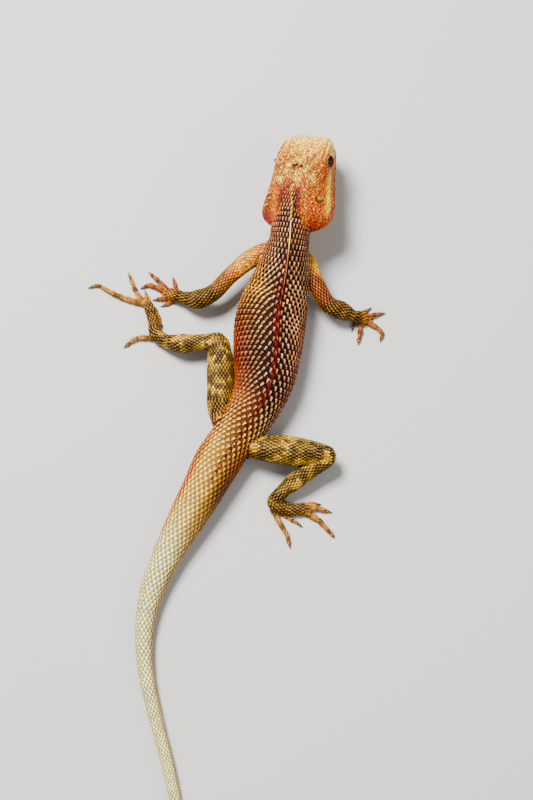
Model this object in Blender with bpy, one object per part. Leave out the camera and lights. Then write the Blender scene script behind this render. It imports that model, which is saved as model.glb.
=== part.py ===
"""Oriental garden lizard, an adult male 0.36 m long, lying on its belly with its limbs spread.

Sizes are millimetres in a working frame: +Y towards the head, +X to the animal's right, +Z up from
the floor at 0. Every mesh is scaled to metres and moved so that the model's origin is the middle of
its box on the floor. Trunk and tail are one closed section carried along the back's line and parted
with thin cuts. Head, limb pieces, hands and feet are closed forms cut to fit what they grow from.
"""
import math

import bmesh
import bpy
import numpy as np

MM = 0.001
GAP = 0.3                       # clearance between touching pieces
ORIGIN = (-10.1, -90.9, 0.0)    # working place of the model's origin

# Trunk and tail, from inside the head to the tail's tip: the centre's x, y and z, half the width,
# the height over the centre, the depth under it, and the lean to the right in degrees.
SPINE = {
    "skull": (10.2, 64.0, 18.8, 5.6, 5.4, 5.6, -4.0),
    "nape": (8.5, 57.0, 19.0, 6.6, 7.0, 6.6, -1.0),
    "neck": (7.5, 50.0, 17.5, 6.7, 7.4, 7.0, 4.0),
    "shoulder": (6.0, 42.5, 14.2, 8.3, 8.3, 9.4, 9.0),
    "chest": (4.3, 35.5, 11.6, 10.1, 9.3, 11.8, 11.0),
    "ribs": (1.6, 25.0, 10.3, 11.7, 9.9, 10.7, 14.0),
    "belly": (0.6, 14.8, 9.9, 11.3, 9.5, 10.3, 17.0),
    "loin": (-0.5, 5.0, 9.1, 9.9, 8.7, 9.5, 17.0),
    "waist": (-2.9, -2.0, 8.3, 8.6, 7.9, 8.7, 17.0),
    "hip": (-6.9, -8.8, 7.9, 7.8, 7.5, 8.3, 17.0),
    "vent": (-11.5, -15.4, 7.6, 7.5, 7.2, 8.0, 17.0),
    "tail root": (-16.0, -22.3, 7.3, 7.7, 7.0, 7.7, 16.0),
    "tail base": (-20.6, -31.0, 6.7, 7.1, 6.5, 7.0, 14.0),
    "tail a": (-26.3, -41.2, 5.8, 6.2, 5.7, 6.0, 9.0),
    "tail b": (-32.6, -53.0, 4.8, 4.9, 4.8, 5.0, 5.0),
    "tail c": (-37.6, -65.0, 4.1, 4.1, 4.1, 4.3, 2.0),
    "tail d": (-39.8, -78.0, 3.3, 3.15, 3.3, 3.5, 0.0),
    "tail e": (-39.2, -90.5, 2.85, 2.75, 2.8, 3.0, 0.0),
    "tail f": (-35.8, -106.0, 2.5, 2.4, 2.45, 2.65, 0.0),
    "tail g": (-31.5, -122.0, 2.3, 2.2, 2.25, 2.45, 0.0),
    "tail h": (-27.8, -140.0, 2.05, 1.95, 2.0, 2.2, 0.0),
    "tail i": (-24.7, -162.0, 1.75, 1.7, 1.7, 1.9, 0.0),
    "tail j": (-24.0, -186.0, 1.45, 1.4, 1.4, 1.6, 0.0),
    "tail k": (-26.6, -212.0, 1.15, 1.1, 1.1, 1.3, 0.0),
    "tail l": (-31.6, -238.0, 0.85, 0.8, 0.8, 1.0, 0.0),
    "tail tip": (-38.0, -270.0, 0.45, 0.35, 0.35, 0.6, 0.0),
}

# Right half of a trunk section from the back's ridge to the belly's middle, as fractions of the half
# width and of the height or depth.
RIDGE = (0.0, 1.0)
SHOULDER = (0.64, 0.74)
FLANK = (1.0, -0.02)
BELLY_EDGE = (0.74, -0.78)
KEEL = (0.0, -1.0)

# Nodes along the spine: the station where each ends, and its number of rings.
BODY_NODES = (
    ("neck", "shoulder", 5),
    ("torso", "waist", 15),
    ("pelvis", "tail root", 7),
    ("tail_1", "tail a", 8),
    ("tail_2", "tail c", 9),
    ("tail_3", "tail e", 9),
    ("tail_4", "tail g", 9),
    ("tail_5", "tail j", 10),
    ("tail_6", "tail tip", 13),
)
NECK_CUT = 12.0                 # distance from the skull station to the head's cut
BODY_STEPS = 3                  # points on each eighth of a trunk section
TAIL_STEPS = 2

# Head in its own frame, +Y ahead from the ears: distance ahead, crown height, brow edge, cheek,
# jaw edge and throat depth.
HEAD_ROWS = (
    (-6.8, 3.4, 4.2, 2.6, 7.6, -2.0, 6.2, -5.4, -6.6),
    (-4.4, 5.2, 5.6, 4.4, 10.6, -2.4, 8.8, -6.6, -8.2),
    (-1.0, 7.1, 6.2, 6.2, 12.1, -2.6, 10.1, -7.2, -9.0),
    (3.0, 8.1, 6.7, 7.3, 12.1, -2.8, 9.9, -7.2, -9.0),
    (8.0, 8.7, 7.4, 8.0, 11.0, -2.2, 8.9, -6.6, -8.2),
    (13.0, 8.9, 8.1, 8.4, 9.9, -1.4, 7.8, -5.8, -7.3),
    (17.0, 8.6, 8.1, 8.2, 9.1, -1.2, 7.1, -5.3, -6.7),
    (20.5, 7.6, 7.7, 7.2, 8.2, -1.0, 6.4, -4.9, -6.2),
    (23.3, 6.0, 6.9, 5.5, 7.4, -0.9, 5.7, -4.5, -5.6),
    (25.5, 4.2, 5.6, 3.8, 5.9, -0.8, 4.5, -3.9, -4.8),
    (26.9, 2.4, 3.7, 2.0, 3.9, -0.8, 2.9, -2.8, -3.4),
)
HEAD_PLACE = (9.5, 62.2, 19.2)
HEAD_YAW = -16.5
HEAD_PITCH = -16.0
HEAD_ROLL = -18.0
HEAD_STEPS = 3

EYE_PLACE = (6.7, 16.5, 3.3)    # right eye's centre in the head's frame
EYE_RADIUS = 2.7
LID_THICK = 0.78
LID_GAZE = (0.78, -0.40, 0.48)  # way that the right eye's lids open, in the head's frame
LID_OPENING = (1.6, 1.95)       # half the opening's breadth and height
EAR_PLACE = (9.1, 1.2, 3.5)     # right ear drum's centre in the head's frame
EAR_TILT = 38.0                 # how far the drums face up, in degrees
EAR_RADIUS = 1.25
EAR_THICK = 0.55                # half the drum's thickness
EAR_CUP = (0.7, 1.5)            # the cup's centre outside the drum's, and half its depth

# The mouth's line as distance ahead and height, and the lips and nostrils beside it.
MOUTH = ((3.6, -4.6), (6.5, -4.1), (12.0, -3.2), (20.0, -2.6), (26.8, -2.0))
MOUTH_DEPTH = 0.8
MOUTH_OPEN = 0.2
LIP_RADIUS = 0.75
LIP_SUNK = 0.45
NOSTRIL_PLACE = (24.3, 1.9)     # distance ahead and height on the snout's side
NOSTRIL_RADIUS = 0.6

# Spines over the ears: the root's distance ahead and height on the right side, the way that the
# spine points and its length, in the head's frame.
EAR_SPINES = (
    (-3.0, 3.2, (0.50, -0.72, 0.48), 1.7),
    (0.2, 5.4, (0.62, -0.55, 0.56), 1.5),
)
EAR_SPINE_RADIUS = (0.6, 0.45)
EAR_SPINE_SUNK = 0.8

# Crest of flat spines along the back.
CREST_PITCH = 2.4
CREST_LENGTH = (3.9, 1.1)       # at the nape and at the tail's base
CREST_RADIUS = (0.85, 0.36)     # half a spine's root along the back and across it
CREST_WAY = (0.62, 0.78)        # a spine's way over the back and tailwards
CREST_SUNK = 0.9
CREST_START = 3.4               # where the neck's own spines begin, as a distance from the skull
CREST_HEAD = ((2.4, 0.0), (0.2, 0.5), (-2.0, 1.0))  # ahead and to the right, on the head itself

# Limb pieces as stations along them: x, y, z, half the breadth, half the height.
LIMBS = {
    "upper_arm_left": ((-0.8, 49.4, 10.8, 3.1, 3.1), (-4.9, 46.3, 10.7, 3.3, 3.3),
                       (-11.9, 40.4, 10.4, 2.9, 3.0), (-18.3, 34.4, 8.8, 3.0, 3.0)),
    "forearm_left": ((-19.0, 33.6, 8.4, 3.1, 2.9), (-23.0, 33.1, 6.4, 3.4, 2.8),
                     (-29.0, 34.7, 3.6, 2.2, 2.0)),
    "upper_arm_right": ((10.5, 48.4, 10.6, 3.0, 3.0), (12.9, 45.2, 10.4, 3.3, 3.3),
                        (16.8, 37.2, 9.8, 2.9, 3.0), (20.8, 30.8, 7.8, 3.0, 3.0)),
    "forearm_right": ((21.6, 30.0, 7.6, 3.0, 2.9), (25.2, 29.3, 5.8, 3.3, 2.8),
                      (30.0, 28.0, 3.5, 2.1, 2.0)),
    "thigh_left": ((-12.8, -13.0, 7.8, 2.8, 3.4), (-15.5, -5.6, 8.3, 3.9, 3.9),
                   (-15.3, 3.0, 8.8, 4.5, 4.2), (-15.4, 11.0, 9.0, 4.4, 4.1),
                   (-15.6, 16.6, 8.4, 3.7, 3.6)),
    "shin_left": ((-17.0, 18.0, 7.9, 3.3, 3.2), (-22.6, 18.1, 6.8, 2.9, 2.9),
                  (-28.4, 18.1, 5.4, 3.4, 3.1), (-34.0, 19.6, 3.9, 2.4, 2.3)),
    "thigh_right": ((-7.5, -17.6, 7.8, 3.0, 3.4), (1.2, -18.3, 8.6, 4.6, 4.1),
                    (8.0, -19.0, 8.9, 5.0, 4.3), (14.4, -19.5, 8.6, 4.2, 3.9),
                    (19.3, -20.2, 8.0, 3.5, 3.4)),
    "shin_right": ((19.4, -21.6, 7.4, 3.2, 3.0), (14.4, -24.8, 6.5, 3.1, 3.0),
                   (9.7, -28.2, 5.5, 3.1, 3.0), (5.6, -31.4, 4.1, 2.6, 2.5)),
}

# Palms and soles, as the limb pieces.
PALMS = {
    "hand_left": ((-28.4, 34.8, 3.2, 2.1, 1.9), (-31.4, 35.9, 2.0, 2.4, 1.7),
                  (-33.2, 36.6, 1.3, 2.0, 1.4)),
    "hand_right": ((29.6, 28.0, 3.2, 2.0, 1.9), (32.0, 27.9, 2.0, 2.4, 1.7),
                   (33.4, 27.7, 1.3, 2.0, 1.4)),
    "foot_left": ((-34.2, 20.0, 3.3, 2.3, 2.2), (-36.9, 22.0, 2.7, 2.4, 2.1),
                  (-38.0, 26.6, 1.8, 2.0, 1.7), (-39.8, 32.0, 1.3, 1.8, 1.4)),
    "foot_right": ((4.4, -32.6, 3.4, 2.3, 2.2), (2.2, -35.2, 2.7, 2.4, 2.1),
                   (6.4, -37.0, 1.8, 2.4, 1.7), (12.2, -37.2, 1.3, 2.2, 1.4)),
}

# Fingers and toes from the innermost: the line on the floor, the root's and the tip's radius, and
# how high the middle is arched.
DIGITS = {
    "hand_left": (
        (((-30.4, 37.4), (-31.0, 40.0), (-31.6, 42.2)), 0.95, 0.65, 0.3),
        (((-33.0, 37.4), (-36.6, 41.0), (-39.6, 43.9)), 1.0, 0.7, 0.5),
        (((-33.4, 36.8), (-37.4, 38.7), (-40.0, 39.5), (-42.2, 38.5)), 1.05, 0.7, 0.7),
        (((-32.2, 35.2), (-35.6, 34.7), (-38.0, 34.4)), 1.05, 0.75, 0.3),
        (((-31.0, 34.2), (-33.4, 32.9), (-35.2, 32.3)), 0.85, 0.6, 0.2),
    ),
    "hand_right": (
        (((32.0, 29.4), (33.8, 30.7), (35.0, 31.5)), 0.95, 0.65, 0.3),
        (((33.6, 28.4), (36.8, 29.2), (39.6, 29.8)), 1.0, 0.7, 0.5),
        (((33.2, 26.8), (37.6, 24.2), (39.0, 22.0), (38.0, 20.6)), 1.05, 0.7, 0.6),
        (((31.6, 26.2), (31.4, 22.8), (30.8, 19.4)), 1.05, 0.7, 0.4),
        (((30.2, 26.6), (29.2, 25.2), (29.0, 24.0)), 0.85, 0.6, 0.2),
    ),
    "foot_left": (
        (((-35.8, 25.4), (-36.6, 29.0), (-37.6, 31.8)), 0.9, 0.65, 0.2),
        (((-39.2, 32.2), (-40.3, 35.2), (-41.0, 37.4)), 1.0, 0.65, 0.3),
        (((-41.2, 33.2), (-44.1, 37.2), (-45.4, 40.4), (-46.6, 43.6)), 1.05, 0.65, 0.4),
        (((-40.8, 32.8), (-48.9, 35.2), (-53.2, 37.3), (-57.4, 39.4), (-59.8, 38.7)), 1.15, 0.65, 0.4),
        (((-38.6, 21.2), (-44.0, 20.8), (-47.7, 18.2)), 1.05, 0.7, 0.3),
    ),
    "foot_right": (
        (((6.2, -39.2), (8.8, -41.0), (10.6, -41.9), (10.7, -43.2)), 0.75, 0.55, 0.2),
        (((12.0, -35.8), (15.2, -35.2), (17.6, -35.4)), 0.95, 0.65, 0.4),
        (((12.6, -36.4), (17.0, -36.9), (21.2, -38.0)), 1.1, 0.75, 0.5),
        (((12.8, -38.2), (17.0, -40.6), (19.7, -43.4), (22.2, -46.2)), 1.15, 0.75, 0.5),
        (((2.2, -37.4), (4.6, -42.0), (6.8, -46.0), (7.7, -49.6)), 1.1, 0.7, 0.4),
    ),
}
DIGIT_SEAT = 0.78               # a digit's height over the floor as a share of its radius
CLAW_LENGTH = 1.9
CLAW_RADIUS = 0.5
CLAW_REACH = 1.2                # how far a claw reaches past its toe's own end

COLOURS = {
    "head": (0.80, 0.36, 0.08), "eye": (0.03, 0.02, 0.02), "ear": (0.80, 0.62, 0.42),
    "neck": (0.42, 0.15, 0.06), "torso": (0.45, 0.20, 0.08), "pelvis": (0.52, 0.28, 0.10),
    "crest": (0.72, 0.48, 0.22), "tail": (0.80, 0.66, 0.30), "arm": (0.76, 0.36, 0.08),
    "leg": (0.42, 0.33, 0.12),
}


def spline(keys, rows, at):
    """Values of a smooth curve through the rows at their keys, read at the places given."""
    slopes = np.gradient(rows, keys, axis=0)
    here = np.clip(np.searchsorted(keys, at, side="right") - 1, 0, len(keys) - 2)
    step = (keys[here + 1] - keys[here])[:, None]
    part = (at - keys[here])[:, None] / step
    rise = part * part * (3.0 - 2.0 * part)
    leave = part * (1.0 - part) ** 2 * step
    reach = part * part * (part - 1.0) * step
    return (rows[here] * (1.0 - rise) + rows[here + 1] * rise
            + slopes[here] * leave + slopes[here + 1] * reach)


def along(rows):
    """Distance of each station from the first, measured through their centres."""
    steps = np.linalg.norm(np.diff(rows[:, :3], axis=0), axis=1)
    return np.concatenate(([0.0], np.cumsum(steps)))


def closed_curve(points, steps):
    """Catmull-Rom curve round the points (rows, points, 2), with that many places on each span."""
    before, after = np.roll(points, 1, axis=1), np.roll(points, -1, axis=1)
    beyond = np.roll(points, -2, axis=1)
    part = (np.arange(steps) / steps)[None, None, :, None]
    p0, p1, p2, p3 = (p[:, :, None, :] for p in (before, points, after, beyond))
    curve = 0.5 * (2.0 * p1 + (p2 - p0) * part + (2.0 * p0 - 5.0 * p1 + 4.0 * p2 - p3) * part ** 2
                   + (3.0 * p1 - p0 - 3.0 * p2 + p3) * part ** 3)
    return curve.reshape(len(points), -1, 2)


def framed(centres, directions, lean):
    """Unit vectors to the right of and over a line that runs in the directions, leaned right."""
    ahead = directions / np.linalg.norm(directions, axis=1, keepdims=True)
    right = np.cross(ahead, (0.0, 0.0, 1.0))
    right /= np.linalg.norm(right, axis=1, keepdims=True)
    over = np.cross(right, ahead)
    lean = np.radians(lean)[:, None]
    return right * np.cos(lean) - over * np.sin(lean), over * np.cos(lean) + right * np.sin(lean)


SPINE_ROWS = np.array(list(SPINE.values()))
SPINE_AT = along(SPINE_ROWS)
STATION = dict(zip(SPINE, SPINE_AT))


def trunk_frame(at):
    """Stations, right and over vectors of the trunk at distances from the skull station."""
    rows = spline(SPINE_AT, SPINE_ROWS, at)
    ahead = spline(SPINE_AT, SPINE_ROWS, at - 0.5)[:, :3] - spline(SPINE_AT, SPINE_ROWS, at + 0.5)[:, :3]
    right, over = framed(rows[:, :3], ahead, rows[:, 6])
    return rows, right, over


def trunk_rings(at, steps, grow=0.0, floor=0.0):
    """Closed sections of the trunk at those distances, pressed flat where they reach the floor."""
    rows, right, over = trunk_frame(at)
    half = np.array((RIDGE, SHOULDER, FLANK, BELLY_EDGE, KEEL))
    whole = np.vstack((half, half[3:0:-1] * (-1.0, 1.0)))
    tall = np.where(whole[:, 1] > 0.0, rows[:, 4:5] + grow, rows[:, 5:6] + grow)
    points = np.stack((whole[:, 0] * (rows[:, 3:4] + grow), whole[:, 1] * tall), axis=-1)
    curve = closed_curve(points, steps)
    rings = (rows[:, None, :3] + curve[:, :, :1] * right[:, None] + curve[:, :, 1:] * over[:, None])
    rings[:, :, 2] = np.maximum(rings[:, :, 2], floor)
    return rings


def head_sections(at, steps):
    """Closed sections of the head in its own frame at those distances ahead of the ears."""
    table = np.array(HEAD_ROWS)
    rows = spline(table[:, 0], table, at)
    right_half = np.stack((np.stack((0.0 * at, rows[:, 1]), axis=-1), rows[:, 2:4], rows[:, 4:6],
                           rows[:, 6:8], np.stack((0.0 * at, rows[:, 8]), axis=-1)), axis=1)
    left_half = right_half[:, 3:0:-1] * (-1.0, 1.0)
    curve = closed_curve(np.concatenate((right_half, left_half), axis=1), steps)
    ahead = np.repeat(at[:, None], curve.shape[1], axis=1)
    return np.stack((curve[:, :, 0], ahead, curve[:, :, 1]), axis=-1)


def from_head(points):
    """Points of the head's frame in the working frame: rolled, pitched, turned and moved."""
    roll, pitch, yaw = (math.radians(a) for a in (HEAD_ROLL, HEAD_PITCH, HEAD_YAW))
    rolled = np.array(((math.cos(roll), 0, math.sin(roll)), (0, 1, 0), (-math.sin(roll), 0, math.cos(roll))))
    pitched = np.array(((1, 0, 0), (0, math.cos(pitch), -math.sin(pitch)),
                        (0, math.sin(pitch), math.cos(pitch))))
    turned = np.array(((math.cos(yaw), -math.sin(yaw), 0), (math.sin(yaw), math.cos(yaw), 0), (0, 0, 1)))
    return np.asarray(points) @ (turned @ pitched @ rolled).T + HEAD_PLACE


def tube_rings(stations, around, count, grow=0.0, floor=0.0):
    """Sections of a round-ended limb piece through its stations, grown all over by grow."""
    rows = np.array(stations, dtype=float)
    keys = along(rows)
    at = np.linspace(0.0, keys[-1], count)
    body = spline(keys, rows, at)
    ahead = np.gradient(body[:, :3], axis=0)
    ahead /= np.linalg.norm(ahead, axis=1, keepdims=True)
    body[:, 3:] += grow
    swell = np.cos(np.radians((68.0, 36.0)))
    reach = np.sin(np.radians((68.0, 36.0)))
    first = np.repeat(body[:1], 2, axis=0)
    first[:, :3] -= ahead[0] * (body[0, 3] * reach)[:, None]
    first[:, 3:] *= swell[:, None]
    last = np.repeat(body[-1:], 2, axis=0)
    last[:, :3] += ahead[-1] * (body[-1, 3] * reach[::-1])[:, None]
    last[:, 3:] *= swell[::-1, None]
    rows = np.vstack((first, body, last))
    ahead = np.vstack((ahead[:1], ahead[:1], ahead, ahead[-1:], ahead[-1:]))
    right, over = framed(rows[:, :3], ahead, np.zeros(len(rows)))
    turn = np.arange(around) * 2.0 * math.pi / around
    rings = (rows[:, None, :3] + np.cos(turn)[None, :, None] * (right * rows[:, 3:4])[:, None]
             + np.sin(turn)[None, :, None] * (over * rows[:, 4:5])[:, None])
    rings[:, :, 2] = np.maximum(rings[:, :, 2], floor)
    return rings


def material(key):
    """Principled material in the colour kept for that piece."""
    made = bpy.data.materials.get(key) or bpy.data.materials.new(key)
    made.use_nodes = True
    shader = made.node_tree.nodes["Principled BSDF"]
    shader.inputs["Base Color"].default_value = (*COLOURS[key], 1.0)
    shader.inputs["Roughness"].default_value = 0.1 if key == "eye" else 0.6
    shader.inputs["Metallic"].default_value = 0.0
    return made


def shell(name, rings, colour, ends=None):
    """Closed object from rings of points, each end closed to its middle or to the point given."""
    rows, around = rings.shape[:2]
    middles = rings[[0, -1]].mean(axis=1)
    if ends is not None:
        middles = np.array(ends, dtype=float)
    points = np.vstack((rings.reshape(-1, 3), middles)) - ORIGIN
    here = np.arange(rows * around).reshape(rows, around)
    beside = np.roll(here, -1, axis=1)
    sides = np.stack((here[:-1], beside[:-1], beside[1:], here[1:]), axis=-1).reshape(-1, 4)
    first = np.stack((beside[0], here[0], np.full(around, rows * around)), axis=-1)
    last = np.stack((here[-1], beside[-1], np.full(around, rows * around + 1)), axis=-1)
    mesh = bpy.data.meshes.new(name)
    mesh.from_pydata((points * MM).tolist(), [], sides.tolist() + first.tolist() + last.tolist())
    shape = bmesh.new()
    shape.from_mesh(mesh)
    bmesh.ops.recalc_face_normals(shape, faces=shape.faces)
    shape.to_mesh(mesh)
    shape.free()
    mesh.shade_smooth()
    mesh.materials.append(material(colour))
    piece = bpy.data.objects.new(name, mesh)
    bpy.context.scene.collection.objects.link(piece)
    return piece


def ball(name, centre, radii, colour, rows=7, around=12, tilt=0.0):
    """Closed ellipsoid in the head's frame, poles along the head's length, turned round it by tilt."""
    turn = np.linspace(0.0, math.pi, rows + 2)[1:-1]
    spin = np.arange(around) * 2.0 * math.pi / around
    rings = np.stack((np.sin(turn)[:, None] * np.cos(spin) * radii[0],
                      np.cos(turn)[:, None] * np.ones(around) * radii[1],
                      np.sin(turn)[:, None] * np.sin(spin) * radii[2]), axis=-1)
    tilt = math.radians(tilt)
    turned = np.array(((math.cos(tilt), 0.0, math.sin(tilt)), (0.0, 1.0, 0.0),
                       (-math.sin(tilt), 0.0, math.cos(tilt))))
    rings = rings @ turned + centre
    poles = np.array(((0.0, radii[1], 0.0), (0.0, -radii[1], 0.0))) + centre
    return shell(name, from_head(rings), colour, from_head(poles))


def largest(piece):
    """Keeps only the closed surface of the piece that holds the most."""
    shape = bmesh.new()
    shape.from_mesh(piece.data)
    left = set(shape.verts)
    kept, most = None, -1.0
    while left:
        seed = left.pop()
        group, edge = {seed}, [seed]
        while edge:
            for link in edge.pop().link_edges:
                for vert in link.verts:
                    if vert in left:
                        left.discard(vert)
                        group.add(vert)
                        edge.append(vert)
        spread = np.array([vert.co[:] for vert in group])
        size = float(np.prod(spread.max(axis=0) - spread.min(axis=0) + 1e-9))
        if size > most:
            kept, most = group, size
    bmesh.ops.delete(shape, geom=[v for v in shape.verts if v not in kept], context="VERTS")
    shape.to_mesh(piece.data)
    shape.free()


def combine(piece, others, operation):
    """Fuses the other closed objects with the piece, or cuts them from it, and removes them."""
    group = bpy.data.collections.new("pieces")
    for other in others:
        group.objects.link(other)
    step = piece.modifiers.new(operation.lower(), "BOOLEAN")
    step.operation = operation
    step.operand_type = "COLLECTION"
    step.collection = group
    step.solver = "EXACT"
    bpy.context.view_layer.update()
    done = bpy.data.meshes.new_from_object(piece.evaluated_get(bpy.context.evaluated_depsgraph_get()))
    piece.modifiers.clear()
    piece.data = done
    for other in others:
        bpy.data.objects.remove(other)
    bpy.data.collections.remove(group)
    largest(piece)


def trunk_clearance():
    """The whole trunk grown by the gap, to cut the limbs' roots with."""
    at = np.linspace(STATION["nape"], STATION["tail b"], 40)
    return shell("clearance", trunk_rings(at, BODY_STEPS, grow=GAP, floor=-1.0), "torso")


def thorn(root, way, along_way, length, radii, sunk):
    """Four-sided spine of about 16 triangles, flat along along_way, its root sunk in what bears it."""
    way, along_way = (v / np.linalg.norm(v) for v in (np.array(way), np.array(along_way)))
    across = np.cross(way, along_way)
    across /= np.linalg.norm(across)
    along_way = np.cross(across, way)
    corners = np.array((along_way * radii[0], across * radii[1], -along_way * radii[0], -across * radii[1]))
    middle = root + way * length * 0.5
    tip = root + way * length
    rings = np.array((root - way * sunk + corners, middle + corners * 0.62))
    return shell("thorn", rings, "crest", (rings[0].mean(axis=0), tip))


def crest(start, end):
    """Spines along the back's ridge between two distances from the skull station."""
    count = int((end - start) / CREST_PITCH)
    at = start + (np.arange(count) + 0.5) * (end - start) / max(count, 1)
    rows, right, over = trunk_frame(at)
    share = np.clip(at / STATION["tail root"], 0.0, 1.0)
    length = CREST_LENGTH[0] + (CREST_LENGTH[1] - CREST_LENGTH[0]) * np.sqrt(share)
    spines = []
    for i in range(count):
        back = np.cross(right[i], over[i])
        way = over[i] * CREST_WAY[0] + back * CREST_WAY[1]
        size = 0.55 + 0.45 * length[i] / CREST_LENGTH[0]
        radii = (CREST_RADIUS[0] * size, CREST_RADIUS[1] * size)
        root = rows[i, :3] + over[i] * rows[i, 4]
        spines.append(thorn(root, way, back, length[i], radii, CREST_SUNK))
    return spines


def build_body():
    """Neck, torso, pelvis and the tail's lengths, parted by thin cuts across the back's line."""
    start = NECK_CUT
    for name, station, rows in BODY_NODES:
        end = STATION[station]
        at = np.linspace(start + GAP / 2.0, end - GAP / 2.0, rows)
        steps = TAIL_STEPS if name.startswith("tail") else BODY_STEPS
        piece = shell(name, trunk_rings(at, steps), name.split("_")[0])
        if not name.startswith("tail"):
            combine(piece, crest(start + CREST_SUNK, end - CREST_SUNK), "UNION")
        start = end


def head_side(at, heights):
    """Places on the head's right side at those distances ahead and heights."""
    at, heights = np.atleast_1d(at).astype(float), np.atleast_1d(heights)
    rings = head_sections(at, 16)[:, :4 * 16 + 1]
    across = [np.interp(-h, -ring[:, 2], ring[:, 0]) for h, ring in zip(heights, rings)]
    return np.column_stack((across, at, heights))


def mouth_line(lift, outward, count):
    """Places along the mouth from its right corner round the snout to its left, and outward ways."""
    table = np.array(MOUTH)
    at = table[0, 0] + (table[-1, 0] - table[0, 0]) * np.sin(np.linspace(0.0, math.pi / 2.0, count))
    height = spline(table[:, 0], table[:, 1:], at)[:, 0] + lift
    right_side = head_side(at, height)
    line = np.vstack((right_side, right_side[::-1] * (-1.0, 1.0, 1.0)))
    way = np.gradient(line, axis=0)
    out = np.cross(way, (0.0, 0.0, 1.0))
    out /= np.linalg.norm(out, axis=1, keepdims=True)
    return line + out * outward, out


def mouth_groove():
    """Thin wedge round the jaws, sunk to the mouth's depth."""
    line, out = mouth_line(0.0, 0.0, 11)
    lift = np.array((0.0, 0.0, 1.0))
    rings = np.stack((line + out * 0.8 + lift * MOUTH_OPEN * 1.6, line + out * 0.8 - lift * MOUTH_OPEN * 1.6,
                      line - out * MOUTH_DEPTH - lift * 0.05, line - out * MOUTH_DEPTH + lift * 0.05), axis=1)
    return shell("groove", from_head(rings.reshape(-1, 3)).reshape(rings.shape), "head")


def lip(lift):
    """Rounded lip beside the mouth's line, mostly sunk in the head."""
    line, out = mouth_line(lift, -LIP_SUNK, 10)
    turn = np.arange(5) * 2.0 * math.pi / 5.0
    taper = np.sin(np.linspace(0.12, math.pi - 0.12, len(line)))[:, None, None] ** 0.3
    rings = (line[:, None] + LIP_RADIUS * taper * (np.cos(turn)[None, :, None] * out[:, None]
             + np.sin(turn)[None, :, None] * np.array((0.0, 0.0, 1.0))))
    return shell("lip", from_head(rings.reshape(-1, 3)).reshape(rings.shape), "head")


def head_forms():
    """Lids, lips and spines that stand out from the head, and the neck's front behind it."""
    forms = [shell("neck front", trunk_rings(np.linspace(0.0, NECK_CUT - GAP / 2.0, 5), BODY_STEPS), "neck")]
    forms += [lip(LIP_RADIUS * 1.1), lip(-LIP_RADIUS * 1.1)]
    for side in (1.0, -1.0):
        mirror = np.array((side, 1.0, 1.0))
        forms.append(ball("lid", mirror * EYE_PLACE, [EYE_RADIUS + LID_THICK] * 3, "head", 8, 14))
        for at, height, way, length in EAR_SPINES:
            place = head_side(at, height)[0]
            root, tip = from_head(np.array((mirror * place, mirror * (place + way))))
            forms.append(thorn(root, tip - root, (0.0, 1.0, 0.0), length, EAR_SPINE_RADIUS, EAR_SPINE_SUNK))
    spots = np.array(CREST_HEAD)
    crown = head_sections(spots[:, 0], 1)[:, 0] + spots[:, 1:] * (1.0, 0.0, 0.0)
    for place in crown:
        root, tip = from_head(np.array((place, place + (0.0, -CREST_WAY[1], CREST_WAY[0]))))
        forms.append(thorn(root, tip - root, (0.0, 1.0, 0.0), CREST_LENGTH[0] * 0.8, CREST_RADIUS,
                           CREST_SUNK))
    forms += crest(CREST_START, NECK_CUT - CREST_SUNK)
    return forms


def build_head():
    """Head, with the front of the neck in one piece with it."""
    table = np.array(HEAD_ROWS)
    at = np.concatenate((np.linspace(table[0, 0], 21.5, 13), np.linspace(23.0, table[-1, 0], 6)))
    ends = ((0.0, table[0, 0] - 1.2, -1.4), (0.0, table[-1, 0] + 0.6, -0.8))
    head = shell("head", from_head(head_sections(at, HEAD_STEPS)), "head", from_head(ends))
    combine(head, head_forms(), "UNION")
    nostril = head_side(*NOSTRIL_PLACE)[0]
    sockets = [mouth_groove()]
    for side, label in ((1.0, "right"), (-1.0, "left")):
        mirror = np.array((side, 1.0, 1.0))
        sockets.append(ball("socket", mirror * EYE_PLACE, [EYE_RADIUS + GAP] * 3, "head"))
        sockets.append(ball("nostril", mirror * nostril, [NOSTRIL_RADIUS] * 3, "head", 3, 6))
        gaze = mirror * LID_GAZE
        near, far = from_head(np.array((mirror * EYE_PLACE + gaze * 1.6, mirror * EYE_PLACE + gaze * 5.0)))
        opening = np.array(((*near, *LID_OPENING), (*(near + far) / 2.0, *LID_OPENING), (*far, *LID_OPENING)))
        sockets.append(shell("opening", tube_rings(opening, 12, 3), "head"))
        ball("eye_" + label, mirror * EYE_PLACE, [EYE_RADIUS] * 3, "eye")
        tilt = side * EAR_TILT
        facing = np.array((math.cos(math.radians(EAR_TILT)), 0.0, math.sin(math.radians(EAR_TILT))))
        cup = mirror * (EAR_PLACE + EAR_CUP[0] * facing)
        cup_radii = [EAR_CUP[1], EAR_RADIUS + 1.5 * GAP, EAR_RADIUS + 1.5 * GAP]
        sockets.append(ball("cup", cup, cup_radii, "head", tilt=tilt))
        ball("ear_" + label, mirror * EAR_PLACE, [EAR_THICK, EAR_RADIUS, EAR_RADIUS], "ear", 5, 10, tilt)
    combine(head, sockets, "DIFFERENCE")


def build_limbs():
    """Limb pieces cut clear of the trunk and of the piece each grows from."""
    before = {"upper_arm": None, "forearm": "upper_arm", "thigh": None, "shin": "thigh"}
    for name, stations in LIMBS.items():
        part, side = name.rsplit("_", 1)
        limb = shell(name, tube_rings(stations, 14, 9), "arm" if "arm" in part else "leg")
        if before[part] is None:
            cutter = trunk_clearance()
        else:
            cutter = shell("cutter", tube_rings(LIMBS[before[part] + "_" + side], 14, 9, GAP, -1.0), "leg")
        combine(limb, [cutter], "DIFFERENCE")


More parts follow.
